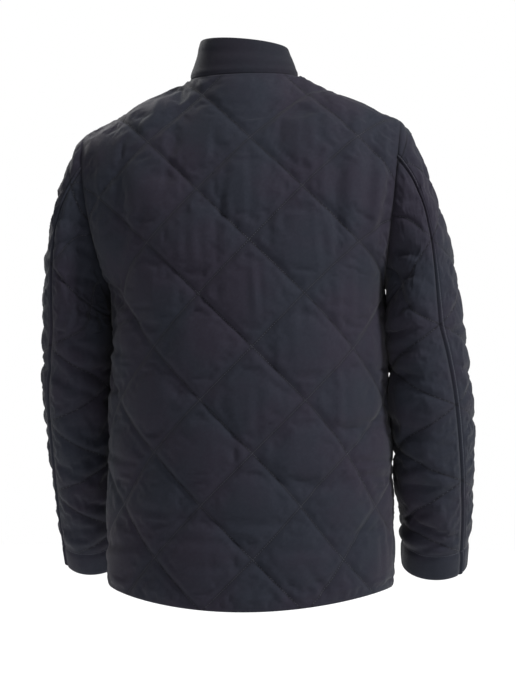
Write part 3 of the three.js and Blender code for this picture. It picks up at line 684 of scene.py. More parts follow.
# Each point's place on the flat cut: along a panel's width, and up it.
def flatPlaces(name, panel):
    p = panel["p"]
    over = lengthsOver(p)
    if name.startswith("sleeve"):
        down = lengthsDown(steps(p, 0))
        capEnd = int(np.searchsorted(panel["rows"], capRows))
        seam = 0 if name.endswith("under") else -1
        return over - over[:, [seam]], down[[capEnd]] - down
    middle = {"back": p.shape[1] // 2, "front_left": 0, "front_right": -1}[name]
    over = over - over[:, [middle]]
    forward, upward = np.diff(p[..., 1], axis=0), np.diff(p[..., 2], axis=0)
    up = lengthsDown(np.hypot(quilting["forwardShare"] * forward, upward))
    armpit = int(np.searchsorted(panel["rows"], lowerRows))
    up = up - up[[armpit]] + body["armpitZ"]
    straight = -p[..., 0] if name == "back" else p[..., 0]
    share = ease((up - quilting["straightFrom"]) / quilting["straightOver"])
    return mix(over, straight, share), up


# The two families of stitched lines, as numbers that are whole on a line, and the gap between lines.
def quiltLines(name, panel):
    over, up = flatPlaces(name, panel)
    if name.startswith("sleeve"):
        quilt = quilting[name.split("_")[1]]
    else:
        quilt = quilting["body"]
        over = over - quilt["back" if name == "back" else "front"]
    if name == "back":
        for pull in drawnAside:
            aside, above = over + quilt["back"] - pull["over"], up - pull["up"]
            over = over + pull["by"] * hump(aside / pull["reach"], above / pull["reach"])
    across, along = over / quilt["wide"], (up - quilt["level"]) / quilt["high"]
    gap = 1 / math.hypot(1 / quilt["wide"], 1 / quilt["high"])
    rounds = quilting["smoothing"]
    return smoothed(across + along, rounds), smoothed(across - along, rounds), gap


# Distances in millimetres from each of a panel's four edges.
def edgeDistances(panel):
    up, over = lengthsDown(steps(panel["p"], 0)), lengthsOver(panel["p"])
    return {"first": up, "last": up[-1:] - up, "start": over, "end": over[:, -1:] - over}


# Which edges are free, with nothing sewn to them.
freeEdges = {
    "back": ("first",),
    "front_left": ("first", "start"),
    "front_right": ("first", "end"),
    "collar": ("last", "start", "end"),
}


def pressedBy(name, panel):
    p = panel["p"]
    away = p - np.array([0, body["middleY"], body["armpitZ"]])
    away[..., 0] = np.abs(away[..., 0]) - pressed["armpitX"]
    fromArmpit = ease(np.linalg.norm(away, axis=-1) / pressed["awayFromArmpit"])
    if name.startswith("sleeve"):
        inward = -np.cos(np.radians(panel["turns"]))[None, :]
        facing = ease((inward - pressed["sleeveFrom"]) / pressed["sleeveOver"])
        return fromArmpit * (1 - pressed[name.split("_")[1]] * facing)
    facing = ease((np.abs(p[..., 0]) - pressed["sideX"]) / pressed["sideWidth"])
    return fromArmpit * (1 - pressed["body"] * facing)


# How far padding has risen at a distance from a stitched line: steep beside it, then nearly flat.
def risen(distance):
    rounded = np.sqrt(distance**2 + padding["valley"] ** 2) - padding["valley"]
    slow, steep = (np.exp(-rounded / padding[reach]) for reach in ("away", "beside"))
    return 1 - mix(slow, steep, padding["steepShare"])


# Small upright ripples that quilting draws in the cloth between its lines.
ripples = {"width": 10, "length": 70, "depth": 1.25, "patch": 75, "contrast": 0.9}


def rippleDepth(u, v, seed):
    fineOnes = softNoise(u / ripples["width"], v / ripples["length"], seed)
    patch = softNoise(u / ripples["patch"], v / ripples["patch"], seed + 1)
    patches = ease(0.5 + ripples["contrast"] * patch)
    return ripples["depth"] * fineOnes * patches


# Creases, listed one by one, with the columns of the folds above. Each has a low ridge beside it.
creases = {
    "back": [
        (9, -165, 70, 6, -1.9, -9),
        (-24, -128, 52, 5, -1.3, 3),
        (24, -106, 46, 5, -1.3, -4),
        (88, -140, 58, 6, -1.5, -6),
        (157, -167, 66, 7, -2.4, 5),
        (124, -208, 48, 6, -1.8, -8),
        (-5, -196, 62, 5, -1.4, 4),
        (-26, -190, 50, 5, -1.2, -3),
        (-48, -200, 64, 6, -1.5, 2),
        (-70, -193, 44, 5, -1.2, -5),
        (-37, -292, 62, 5, -2.0, 3),
        (78, -252, 42, 5, -1.3, -4),
        (40, -236, 46, 6, -1.2, 5),
        (-118, -240, 56, 6, -1.4, 6),
        (-130, -130, 50, 6, -1.5, -4),
        (-188, -160, 100, 8, 3.7, -9),
        (-200, -178, 90, 7, -3.5, -10),
        (159, -313, 44, 6, -4.6, 45),
        (157, -336, 34, 5, -3.8, -63),
        (131, -330, 26, 5, -2.3, -30),
        (175, -375, 60, 7, -3.5, 80),
        (178, -430, 40, 6, -2.8, 100),
        (172, -520, 46, 6, -3.0, 75),
        (165, -640, 50, 7, -2.9, 98),
        (-177, -471, 40, 5, -3.3, 88),
        (-190, -478, 28, 4, -2.6, 96),
        (-172, -525, 40, 5, -2.9, 92),
        (-178, -546, 36, 5, -3.0, 84),
        (-165, -618, 44, 6, -2.6, 95),
        (-95, -556, 70, 7, -3.0, 88),
        (-33, -606, 64, 7, -2.9, 93),
        (62, -628, 90, 8, -2.5, 87),
        (12, -662, 100, 8, -2.3, 91),
        (-90, -640, 80, 7, -2.5, 94),
        (108, -590, 64, 7, -2.6, 84),
        (-112, -690, 60, 6, -2.6, 35),
        (-60, -425, 54, 6, -1.3, 60),
        (70, -415, 60, 7, -1.3, -30),
    ],
    "front": [
        (60, -190, 70, 6, -1.8, 6),
        (95, -250, 64, 6, -1.7, -5),
        (-66, -180, 66, 6, -1.7, -7),
        (-110, -236, 60, 6, -1.8, 4),
        (160, -330, 50, 6, -3.8, -50),
        (-158, -340, 50, 6, -3.8, 48),
        (150, -455, 56, 6, -2.8, 84),
        (-152, -470, 54, 6, -2.8, 96),
        (30, -420, 40, 5, -1.7, 80),
        (-30, -380, 40, 5, -1.7, 98),
        (28, -560, 44, 6, -2.2, 94),
        (-32, -590, 44, 6, -2.2, 86),
        (110, -620, 80, 7, -2.6, 88),
        (-105, -630, 80, 7, -2.6, 93),
        (60, -665, 70, 6, -2.2, 92),
        (-60, -670, 70, 6, -2.2, 87),
    ],
    "left": [
        (-150, 80, 26, 5, -2.6, 0.4),
        (-196, 95, 34, 5, -2.8, -0.2),
        (-238, 120, 30, 5, -2.4, -0.35),
        (-290, 105, 34, 6, -2.2, -0.5),
        (-326, 130, 36, 5, -2.6, -0.3),
        (-372, 115, 40, 6, -2.4, -0.45),
        (-424, 100, 34, 5, -3.2, -0.35),
        (-482, 140, 36, 6, -2.4, -0.25),
        (-548, 100, 34, 5, -2.6, -0.3),
        (-575, 150, 34, 6, -2.2, 0.2),
        (-628, 110, 36, 5, -2.4, 0.1),
        (-232, 10, 28, 6, -2.2, -0.3),
        (-352, 340, 32, 6, -2.4, 0.3),
        (-452, 0, 32, 6, -2.4, -0.3),
        (-520, 330, 30, 6, -2.4, 0.2),
        (-600, 20, 30, 6, -2.0, 0.3),
        (-430, 260, 34, 6, -3.0, 0.1),
        (-475, 270, 34, 6, -3.0, -0.1),
    ],
    "right": [
        (-178, 96, 30, 5, -3.0, 0.05),
        (-203, 110, 24, 5, -2.0, -0.2),
        (-246, 118, 34, 5, -3.2, 0.3),
        (-276, 124, 34, 5, -3.0, 0.15),
        (-318, 112, 24, 5, -2.2, -0.3),
        (-376, 138, 34, 5, -4.2, 0.0),
        (-388, 95, 22, 4, -2.2, -0.1),
        (-397, 98, 22, 4, -2.2, -0.12),
        (-412, 146, 26, 5, -3.8, -0.2),
        (-492, 128, 34, 6, -2.8, 0.2),
        (-536, 140, 34, 5, -3.0, -0.25),
        (-577, 96, 30, 5, -2.4, 0.05),
        (-602, 132, 30, 5, -2.8, -0.3),
        (-645, 105, 34, 5, -2.6, -0.2),
        (-225, 8, 28, 6, -2.2, -0.3),
        (-350, 30, 28, 6, -2.4, -0.4),
        (-440, 350, 32, 6, -2.4, 0.3),
        (-515, 15, 30, 6, -2.4, -0.3),
        (-590, 345, 30, 6, -2.2, 0.2),
        (-435, 262, 34, 6, -3.0, 0.1),
        (-480, 272, 34, 6, -3.0, -0.1),
    ],
}
ridge = {"share": 0.42, "aside": 1.5}


# Each crease and then the ridge beside it, as folds of their own.
def withRidges(folds):
    made = list(folds)
    for fold in folds:
        beside = ridge["aside"] * fold["width"]
        if "x" in fold:
            turn = math.radians(fold["turn"])
            moved = {"x": fold["x"] + beside * math.cos(turn), "z": fold["z"] - beside * math.sin(turn)}
        else:
            moved = {"z": fold["z"] - beside}
        made.append({**fold, **moved, "depth": -ridge["share"] * fold["depth"]})
    return made


def creaseDepth(name, panel):
    if name.startswith("sleeve"):
        folds = withRidges(foldsOf(sleeveFoldColumns, creases[name.split("_")[1]]))
        return sleeveFoldDepth(folds, panel["p"][..., 2], panel["turns"][None, :])
    side = "back" if name == "back" else "front"
    return foldDepth(withRidges(foldsOf(bodyFoldColumns, creases[side])), panel["p"])


def least(distances):
    return np.minimum.reduce(list(distances))


# The sunk seams, and on an upper sleeve the raised band, before any padding.
def wallBase(isTop, seams, fromBackSeam):
    base = padding["halfWall"]
    if isTop:
        fromBand, fromRow = (fromBackSeam - twinSeam[line] for line in ("band", "stitched"))
        base = base + twinSeam["raised"] * hump(fromBand / twinSeam["bandWidth"])
        base -= twinSeam["groove"] * hump(fromRow / twinSeam["grooveWidth"])
        base -= padding["seamSink"] * hump(fromBackSeam / twinSeam["grooveWidth"])
    return base - padding["seamSink"] * hump(least(seams) / padding["seamWidth"])


# How far the outer cloth stands off the middle of its wall, and its distances from free and held
# lines.
def outerHeights(name, panel, d):
    isTop = name.endswith("_top")
    free = freeEdges.get(name, ("last",))
    roll = least(d[edge] for edge in free)
    seams = [d[edge] for edge in d if edge not in free and not (isTop and edge == "end")]
    base = wallBase(isTop, seams, d["end"])
    if name == "collar":
        puffed = padding["collar"] * ease(seams[0] / padding["collarRise"])
        return base + puffed, roll, least([*seams, roll])
    if isTop:
        fromRow = d["end"] - twinSeam["stitched"]
        seams.append(np.abs(fromRow) * np.where(fromRow < 0, twinSeam["bandPadding"], 1))
    held = least(seams)
    q1, q2, gap = quiltLines(name, panel)
    lines = [np.abs(q - np.round(q)) * gap for q in (q1, q2)]
    puff = padding["body"]
    inside = ease(padding["seamStart"] + np.minimum(held, roll) / padding["seamRise"])
    if name.startswith("sleeve"):
        puff = padding["sleeve"]
        aboveCuff = d["last"] - sleeve["cuffDepth"]
        inside = inside * ease(aboveCuff / padding["seamRise"])
        onCuff = ease(np.minimum(d["last"] + cuff["overLine"], -aboveCuff) / cuff["rise"])
        base = base + padding["cuff"] * onCuff - cuff["groove"] * hump(aboveCuff / cuff["grooveWidth"])
        held = np.minimum(held, np.maximum(aboveCuff, 0))
        q1, q2 = (np.where(aboveCuff < 0, 0.5, q) for q in (q1, q2))
    raised = puff * risen(lines[0]) * risen(lines[1]) * inside * pressedBy(name, panel)
    panel["quilt"] = np.stack([q1, q2], axis=-1)
    return base + raised, roll, least([held, roll, *lines])


# The inside and the outside both curve to meet at a free edge.
def rollOver(distance):
    t = np.clip(distance / padding["rollOver"], 0, 1)
    return np.maximum(padding["edgeShare"], np.sqrt(1 - (1 - t) ** 2))


# Between its stitched lines the outer cloth is blown up a little, as cloth over wadding is.
billow = {
    "every": 2,
    "frames": 14,
    "quality": 5,
    "pressure": 3.0,
    "slack": 0.035,
    "gravity": 0.15,
    "startShare": 0.8,
    "most": 3.2,
    "heldWithin": 4.5,
    "pinned": 1.15,
    "fadeWithin": 11,
    "mass": 0.12,
    "stretch": 8,
    "shear": 3,
    "bending": 0.1,
}


# Values at a few numbered places along an axis, drawn out to all of them.
def between(values, coarse, count, axis):
    return np.apply_along_axis(lambda line: np.interp(np.arange(count), coarse, line), axis, values)


# How far a cloth simulation moves each point, with the cloth held at its stitches and seams.
def billowed(name, panel, height, fromHeld):
    rows, columns = height.shape
    keepRows, keepColumns = thinned(rows, billow["every"]), thinned(columns, billow["every"])
    kept = np.ix_(keepRows, keepColumns)
    start = (panel["p"] + panel["n"] * height[..., None] * billow["startShare"])[kept] * mm
    faces = quads(np.arange(start[..., 0].size).reshape(start.shape[:2]))
    if panel["facing"] < 0:
        faces = faces[:, ::-1]
    mesh = bpy.data.meshes.new("billowing")
    mesh.from_pydata(start.reshape(-1, 3).tolist(), [], faces.tolist())
    cloth = addObject("billowing", mesh)
    held = hump(fromHeld[kept] / billow["heldWithin"]).ravel()
    group = cloth.vertex_groups.new(name="held")
    for k, weight in enumerate(held.tolist()):
        group.add([k], min(1, billow["pinned"] * weight), "REPLACE")
    modifier = cloth.modifiers.new("billow", "CLOTH")
    settings = modifier.settings
    settings.quality, settings.mass = billow["quality"], billow["mass"]
    settings.tension_stiffness = settings.compression_stiffness = billow["stretch"]
    settings.shear_stiffness, settings.bending_stiffness = billow["shear"], billow["bending"]
    settings.vertex_group_mass = "held"
    settings.shrink_min = -billow["slack"]
    settings.use_pressure = True
    settings.uniform_pressure_force = billow["pressure"]
    settings.effector_weights.gravity = billow["gravity"]
    modifier.collision_settings.use_collision = False
    modifier.point_cache.frame_start = 1
    modifier.point_cache.frame_end = billow["frames"]
    for moment in range(1, billow["frames"] + 1):
        bpy.context.scene.frame_set(moment)
    after = afterModifiers(cloth).to_mesh()
    moved = np.zeros(start.size)
    after.vertices.foreach_get("co", moved)
    shift = (moved.reshape(start.shape) - start) / mm
    bpy.data.objects.remove(cloth)
    bpy.data.meshes.remove(mesh)
    bpy.context.scene.frame_set(1)
    far = np.linalg.norm(shift, axis=-1, keepdims=True)
    print(f"{name} billowed by up to {far.max():.1f} mm, half of it by {np.median(far):.1f}")
    nearer = billow["most"] * np.tanh(far / billow["most"])
    shift = shift * nearer / np.maximum(far, 1e-6)
    shift = between(between(shift, keepRows, rows, 0), keepColumns, columns, 1)
    return shift * ease(fromHeld / billow["fadeWithin"])[..., None]


# Smaller unevenness of the cloth, which fades out towards every seam.
unevenness = {"fromSeam": 18, "collar": 1.1, "collarLength": 55, "collarHeight": 11}


# Adds a panel's outside and inside, its places on the flat cut and its distances from its edges.
def clothSurfaces(name, panel):
    d = edgeDistances(panel)
    height, roll, fromHeld = outerHeights(name, panel, d)
    middleColumn = panel["p"].shape[1] // 2
    across = d["start"] - d["start"][:, [middleColumn]]
    along = np.repeat(d["first"][:, [middleColumn]], panel["p"].shape[1], axis=1)
    seed = sorted(panels).index(name) * 10
    inside = ease(least(d.values()) / unevenness["fromSeam"])
    shift = 0
    if name == "collar":
        panel["quilt"] = np.full((*height.shape, 2), 0.5)
        u, v = across / unevenness["collarLength"], along / unevenness["collarHeight"]
        detail = unevenness["collar"] * softNoise(u, v, seed)
    else:
        shift = billowed(name, panel, height, fromHeld)
        height = height * mix(1, billow["startShare"], ease(fromHeld / billow["fadeWithin"]))
        detail = rippleDepth(across, along, seed) + creaseDepth(name, panel)
    height = height + detail * inside
    rounding = rollOver(roll)
    low = -padding["halfWall"] * np.ones_like(height)
    middle = (low + height) / 2
    high, low = mix(middle, height, rounding), mix(middle, low, rounding)
    n = panel["n"]
    panel["outer"] = lean(panel["p"] + n * high[..., None] + shift) * mm
    panel["inner"] = lean(panel["p"] + n * low[..., None]) * mm
    panel["flat"] = np.stack([across, along], axis=-1) * mm
    panel["edges"] = d


for name, panel in panels.items():
    clothSurfaces(name, panel)
print("cloth surfaces worked out")


# A closed wall from a panel's outside and its inside, with fewer divisions inside.
def wallObject(name, panel, materials):
    outer, inner = panel["outer"], panel["inner"]
    height, width = outer.shape[:2]
    keepRows, keepColumns = (thinned(count, grid["insideStep"]) for count in (height, width))
    kept = np.ix_(keepRows, keepColumns)
    outerIndex = np.arange(height * width).reshape(height, width)
    innerIndex = np.arange(inner[kept][..., 0].size).reshape(len(keepRows), -1) + outerIndex.size
    spots = np.concatenate([outer.reshape(-1, 3), inner[kept].reshape(-1, 3)])
    flat = np.concatenate([panel["flat"].reshape(-1, 2), panel["flat"][kept].reshape(-1, 2)])
    quilt = np.concatenate([panel["quilt"].reshape(-1, 2), np.full((innerIndex.size, 2), 0.5)])
    faces = quads(outerIndex).tolist() + quads(innerIndex)[:, ::-1].tolist()
    insideFrom = (height - 1) * (width - 1)
    for outside, inside, keep, step in (
        (outerIndex[0], innerIndex[0], keepColumns, -1),
        (outerIndex[:, -1], innerIndex[:, -1], keepRows, -1),
        (outerIndex[-1], innerIndex[-1], keepColumns, 1),
        (outerIndex[:, 0], innerIndex[:, 0], keepRows, 1),
    ):
        for k in range(len(keep) - 1):
            rim = outside[keep[k] : keep[k + 1] + 1][::step].tolist()
            faces.append(rim + inside[k : k + 2][::-step].tolist())
    if panel["facing"] < 0:
        faces = [face[::-1] for face in faces]
    mesh = bpy.data.meshes.new(name)
    mesh.from_pydata(spots.tolist(), [], faces)
    corners = np.zeros(len(mesh.loops), int)
    mesh.loops.foreach_get("vertex_index", corners)
    for layer, values in (("cloth", flat), ("quilt", quilt)):
        mesh.uv_layers.new(name=layer).data.foreach_set("uv", values[corners].ravel())
    mesh.polygons.foreach_set("use_smooth", np.ones(len(mesh.polygons), bool))
    for material in materials:
        mesh.materials.append(material)
    slots = np.zeros(len(mesh.polygons), int)
    slots[insideFrom:] = len(materials) - 1
    mesh.polygons.foreach_set("material_index", slots)
    return addObject(name, mesh)


# Shader maths: a wrapped socket that adds Math nodes when it is used in an expression.
class Field:
    def __init__(self, finish, socket):
        self.finish, self.socket = finish, socket

    def maths(self, operation, *values):
        return self.finish.node("ShaderNodeMath", {"operation": operation}, *values)

    def __add__(self, other):
        return self.maths("ADD", self, other)

    __radd__ = __add__

    def __sub__(self, other):
        return self.maths("SUBTRACT", self, other)

    def __rsub__(self, other):
        return self.maths("SUBTRACT", other, self)

    def __mul__(self, other):
        return self.maths("MULTIPLY", self, other)

    __rmul__ = __mul__

    def sine(self):
        return self.maths("SINE", self)

    def size(self):
        return self.maths("ABSOLUTE", self)

    def toLine(self):
        return self.maths("PINGPONG", self, 0.5)

    def least(self, other):
        return self.maths("MINIMUM", self, other)

    def between(self, low, high):
        smooth = {"interpolation_type": "SMOOTHSTEP"}
        return self.finish.node("ShaderNodeMapRange", smooth, self, low, high, 0.0, 1.0)


class Finish:
    def __init__(self, name):
        self.material = bpy.data.materials.new(name)
        self.material.use_nodes = True
        self.tree = self.material.node_tree
        self.shader = self.tree.nodes["Principled BSDF"]
        self.place = self.node("ShaderNodeTexCoord", {}, output=3)  # in metres, on the object

    # Adds a node: its settings first, then its sockets, by order or by name.
    def node(self, kind, settings, *values, output=0, **named):
        made = self.tree.nodes.new(kind)
        for key, value in settings.items():
            setattr(made, key, value)
        for key, value in [*enumerate(values), *named.items()]:
            self.feed(made.inputs[key.replace("_", " ") if isinstance(key, str) else key], value)
        return Field(self, made.outputs[output])

    def feed(self, socket, value):
        if isinstance(value, Field):
            self.tree.links.new(value.socket, socket)
        else:
            socket.default_value = value

    def split(self, field):
        parts = self.node("ShaderNodeSeparateXYZ", {}, field)
        return [Field(self, parts.socket.node.outputs[k]) for k in range(3)]

    def blend(self, factor, a, b):
        made = self.tree.nodes.new("ShaderNodeMix")
        made.data_type = "RGBA"
        self.feed(made.inputs[0], factor)
        self.feed(made.inputs[6], a)
        self.feed(made.inputs[7], b)
        return Field(self, made.outputs[2])

    # A look's dark and light colours, mixed.
    def between(self, factor, look):
        return self.blend(factor, colour(*look["dark"]), colour(*look["light"]))

    def noise(self, scale, detail=2.0, rough=0.5, where=None):
        values = {"Vector": where or self.place, "Scale": scale, "Detail": detail, "Roughness": rough}
        return self.node("ShaderNodeTexNoise", {}, **values)

    def bump(self, height, strength, distance):
        normal = self.node("ShaderNodeBump", {}, Strength=strength, Distance=distance, Height=height)
        self.feed(self.shader.inputs["Normal"], normal)

    def set(self, **values):
        for key, value in values.items():
            self.feed(self.shader.inputs[key.replace("_", " ")], value)


def colour(red, green, blue):
    linear = lambda c: c / 12.92 / 255 if c <= 10 else ((c / 255 + 0.055) / 1.055) ** 2.4
    return (linear(red), linear(green), linear(blue), 1)


# Each look has its colours, its noises and its relief, which is a bump's strength and its depth in
# metres. The shell cloth is a fine matte weave with a little sheen, with shade painted darker in a
# narrow band along its stitched grooves.
navyCloth = {
    "blueish": colour(18, 20, 26),
    "purplish": colour(21, 19, 26),
    # painted shade: the dark colour laid along the stitched grooves
    "paintedGrooveShade": colour(8, 8, 11),
    "slub": colour(31, 32, 39),
    "slubShare": 0.25,
    "clouds": {"scale": 9.0, "detail": 3.0, "rough": 0.55},
    "cloudsFromTo": (0.35, 0.65),
    "slubs": {"scale": 260.0, "rough": 0.6},
    "slubsFromTo": (0.3, 0.8),
    "threadsPerMetre": 2400,
    "grooveShadeWidth": 0.016,
    "grooveShadeShare": 0.9,
    "roughness": 0.82,
    "slubGloss": 0.08,
    "relief": (0.35, 0.0003),
    "sheen": 0.03,
    "sheenRoughness": 0.45,
    "specular": 0.04,
    # painted shade: how far the collar's copy of the cloth is darkened towards the groove shade colour
    "collarPaintedShade": 0.4,
}


def clothMaterial(name, quilted, paintedShade=0.0):
    finish = Finish(name)
    look = navyCloth
    u, v, _ = finish.split(finish.node("ShaderNodeUVMap", {"uv_map": "cloth"}))
    turns = math.pi * look["threadsPerMetre"]
    weave = (u * turns).sine() * (v * turns).sine()
    clouds, slubs = finish.noise(**look["clouds"]), finish.noise(**look["slubs"])
    tint = finish.blend(clouds.between(*look["cloudsFromTo"]), look["blueish"], look["purplish"])
    slubbed = slubs.between(*look["slubsFromTo"]) * look["slubShare"]
    tint = finish.blend(slubbed, tint, look["slub"])
    if quilted:
        q1, q2, _ = finish.split(finish.node("ShaderNodeUVMap", {"uv_map": "quilt"}))
        # Painted shade: a narrow band along each stitched groove is darkened towards the groove shade
        # colour.
        paintedGrooveShade = 1 - q1.toLine().least(q2.toLine()).between(0.0, look["grooveShadeWidth"])
        tint = finish.blend(paintedGrooveShade * look["grooveShadeShare"], tint, look["paintedGrooveShade"])
    # Painted shade: the whole copy is darkened, making a lit and a shaded version of one cloth.
    if paintedShade:
        tint = finish.blend(paintedShade, tint, look["paintedGrooveShade"])
    finish.bump(weave * 0.5 + slubs * 0.8, *look["relief"])
    finish.set(Base_Color=tint, Roughness=look["roughness"] - look["slubGloss"] * (slubs - 0.5))
    finish.set(Sheen_Weight=look["sheen"], Sheen_Roughness=look["sheenRoughness"])
    finish.set(Specular_IOR_Level=look["specular"])
    return finish.material


quiltedCloth = clothMaterial("quiltedCloth", True)
plainCloth = clothMaterial("plainCloth", False)
# The collar gets a darker copy of the plain cloth: painted shade over the whole collar.
shadedCollarCloth = clothMaterial("shadedCollarCloth", False, navyCloth["collarPaintedShade"])
print("cloth finished")

for name, panel in panels.items():
    materials = [shadedCollarCloth] if name == "collar" else [quiltedCloth, plainCloth]
    piece = wallObject(f"{name}_cloth", panel, materials)
    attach(piece, "jacket")
    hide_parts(name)
    "collar_cloth" if name == "collar" else "quilted_cloth"
print("cloth pieces made")


for name, panel in panels.items():
    carriers = ["collar"] if name in ("back", "front_left", "front_right") else ["back"]


threadLook = {
    "dark": (22, 23, 31),
    "light": (38, 40, 50),
    "roughness": 0.6,
    "twist": {"scale": 1800.0, "detail": 1.0},
    "relief": (0.3, 0.0001),
}


def threadMaterial(look):
    finish = Finish("thread")
    twist = finish.noise(**look["twist"])
    finish.set(Base_Color=finish.between(twist, look), Roughness=look["roughness"])
    finish.bump(twist, *look["relief"])
    return finish.material


tapeLook = {
    "dark": (16, 17, 23),
    "light": (26, 27, 35),
    "roughness": 0.88,
    "ribWidth": 0.0012,
    "fuzz": {"scale": 900.0, "rough": 0.6},
    "relief": (0.4, 0.0002),
}


def tapeMaterial(look):
    finish = Finish("zipTape")
    x, _, z = finish.split(finish.place)
    rib = ((z + x.size()) * (2 * math.pi / look["ribWidth"])).sine()
    finish.set(Base_Color=finish.between(rib * 0.5 + 0.5, look), Roughness=look["roughness"])
    finish.bump(rib + finish.noise(**look["fuzz"]), *look["relief"])
    return finish.material


toothLook = {
    "dark": (18, 18, 21),
    "light": (30, 30, 35),
    "roughness": 0.42,
    "dulled": 0.15,
    "dull": {"scale": 300.0},
}


def toothMaterial(look):
    finish = Finish("zipTeeth")
    dull = finish.noise(**look["dull"])
    finish.set(Base_Color=finish.between(dull, look))
    finish.set(Roughness=look["roughness"] + look["dulled"] * dull)
    return finish.material


metalLook = {
    "dark": (66, 67, 72),
    "light": (96, 98, 104),
    "roughness": 0.26,
    "brushed": 0.2,
    "drawnOut": 6,
    "brush": {"scale": 700.0, "rough": 0.6},
    "worn": {"scale": 160.0},
    "relief": (0.15, 0.00005),
}


def metalMaterial(look):
    finish = Finish("zipMetal")
    x, y, z = finish.split(finish.place)
    far = look["drawnOut"]
    drawn = finish.node("ShaderNodeCombineXYZ", {}, x * far, y * far, z)
    brushed = finish.noise(where=drawn, **look["brush"])
    finish.set(Base_Color=finish.between(finish.noise(**look["worn"]), look), Metallic=1)
    finish.set(Roughness=look["roughness"] + look["brushed"] * brushed)
    finish.bump(brushed, *look["relief"])
    return finish.material


thread, tape = threadMaterial(threadLook), tapeMaterial(tapeLook)
toothFinish, metal = toothMaterial(toothLook), metalMaterial(metalLook)


# A tree that puts one small shape on each point, turned by the point's "turn".
def scatterTree(name, kind):
    tree = bpy.data.node_groups.new(name, "GeometryNodeTree")
    tree.is_modifier = True
    sizes = ("Length", "Width", "Height")
    kinds = {"Points": "Geometry", **dict.fromkeys(sizes, "Float"), "Material": "Material"}
    sockets = {
        label: tree.interface.new_socket(label, in_out="INPUT", socket_type=f"NodeSocket{kinds[label]}")
        for label in kinds
    }
    tree.interface.new_socket("Shapes", in_out="OUTPUT", socket_type="NodeSocketGeometry")
    new, link = tree.nodes.new, tree.links.new
    given, made = new("NodeGroupInput"), new("NodeGroupOutput")
    if kind == "stitch":
        shape = new("GeometryNodeMeshUVSphere")
        for label, value in {"Segments": 6, "Rings": 4, "Radius": 0.5}.items():
            shape.inputs[label].default_value = value
    else:
        shape = new("GeometryNodeMeshCube")
    size = new("ShaderNodeCombineXYZ")
    sized = new("GeometryNodeTransform")
    turn = new("GeometryNodeInputNamedAttribute")
    turn.data_type = "FLOAT_VECTOR"
    turn.inputs["Name"].default_value = "turn"
    placed = new("GeometryNodeInstanceOnPoints")
    real = new("GeometryNodeRealizeInstances")
    finished = new("GeometryNodeSetMaterial")
    for k, label in enumerate(sizes):
        link(given.outputs[label], size.inputs[k])
    for output, socket in (
        (size.outputs[0], sized.inputs["Scale"]),
        (shape.outputs["Mesh"], sized.inputs["Geometry"]),
        (given.outputs["Points"], placed.inputs["Points"]),
        (sized.outputs[0], placed.inputs["Instance"]),
        (turn.outputs["Attribute"], placed.inputs["Rotation"]),
        (placed.outputs[0], real.inputs[0]),
        (real.outputs[0], finished.inputs["Geometry"]),
        (given.outputs["Material"], finished.inputs["Material"]),
        (finished.outputs[0], made.inputs[0]),
    ):
        link(output, socket)
    return tree, {label: socket.identifier for label, socket in sockets.items()}


# The turns that lay a shape's length along each direction with its height along each normal.
def turnsOf(directions, normals):
    length = unit(directions)
    width = unit(np.cross(normals, length))
    height = np.cross(length, width)
    roll = np.arctan2(width[:, 2], height[:, 2])
    pitch = -np.arcsin(np.clip(length[:, 2], -1, 1))
    return point(roll, pitch, np.arctan2(length[:, 1], length[:, 0]))


# One small shape on each spot, with its size, as a finished piece on the jacket.
def scattered(name, kind, spots, turns, sizes, material):
    mesh = bpy.data.meshes.new(name)
    mesh.from_pydata(spots.tolist(), [], [])
    attribute = mesh.attributes.new("turn", "FLOAT_VECTOR", "POINT")
    attribute.data.foreach_set("vector", turns.ravel())
    made = addObject(name, mesh)
    tree, identifiers = scatterTree(name, kind)
    modifier = made.modifiers.new("scatter", "NODES")
    modifier.node_group = tree
    for label, value in zip(("Length", "Width", "Height"), sizes):
        modifier[identifiers[label]] = value * mm
    modifier[identifiers["Material"]] = material
    solid = applyModifiers(made)
    solid.polygons.foreach_set("use_smooth", np.full(len(solid.polygons), kind == "stitch"))
    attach(made, "jacket")
    return made


# Stitches, in millimetres. The thread is drawn a little thicker than a real one.
stitch = {
    "pitch": 3.6,
    "length": 2.7,
    "thread": 0.55,
    "proud": 0.15,
    "fromEdge": 3.0,
    "fromZip": 8.0,
    "fromRow": 2,
    "shortestRun": 4,
}


# Runs of places, each a point and its normal, where numbers over a panel cross a level.
def levelRuns(spots, field, allowed, level):
    runs = [[]]
    for i in range(field.shape[0]):
        above = field[i] >= level
        crossings = np.nonzero((above[1:] != above[:-1]) & allowed[i, 1:] & allowed[i, :-1])[0]
        if len(crossings) == 0:
            runs.append([])
            continue
        j = crossings[0]
        t = (level - field[i, j]) / (field[i, j + 1] - field[i, j])
        runs[-1].append(mix(spots[i, j], spots[i, j + 1], t))
    return [np.array(run) for run in runs if len(run) >= stitch["shortestRun"]]


# The middles, directions and normals of the stitches along a run.
def stitchesAlong(run):
    lengths = distancesAlong(run[:, :3]) / mm
    count = int(lengths[-1] // stitch["pitch"])
    if count < 2:
        return np.zeros((0, 9))
    wanted = (np.arange(count) + 0.5) * lengths[-1] / count
    before, middle, after = (onLine(wanted + step, lengths, run) for step in (-1, 0, 1))
    return np.concatenate([middle, (after - before)[:, :3]], axis=1)


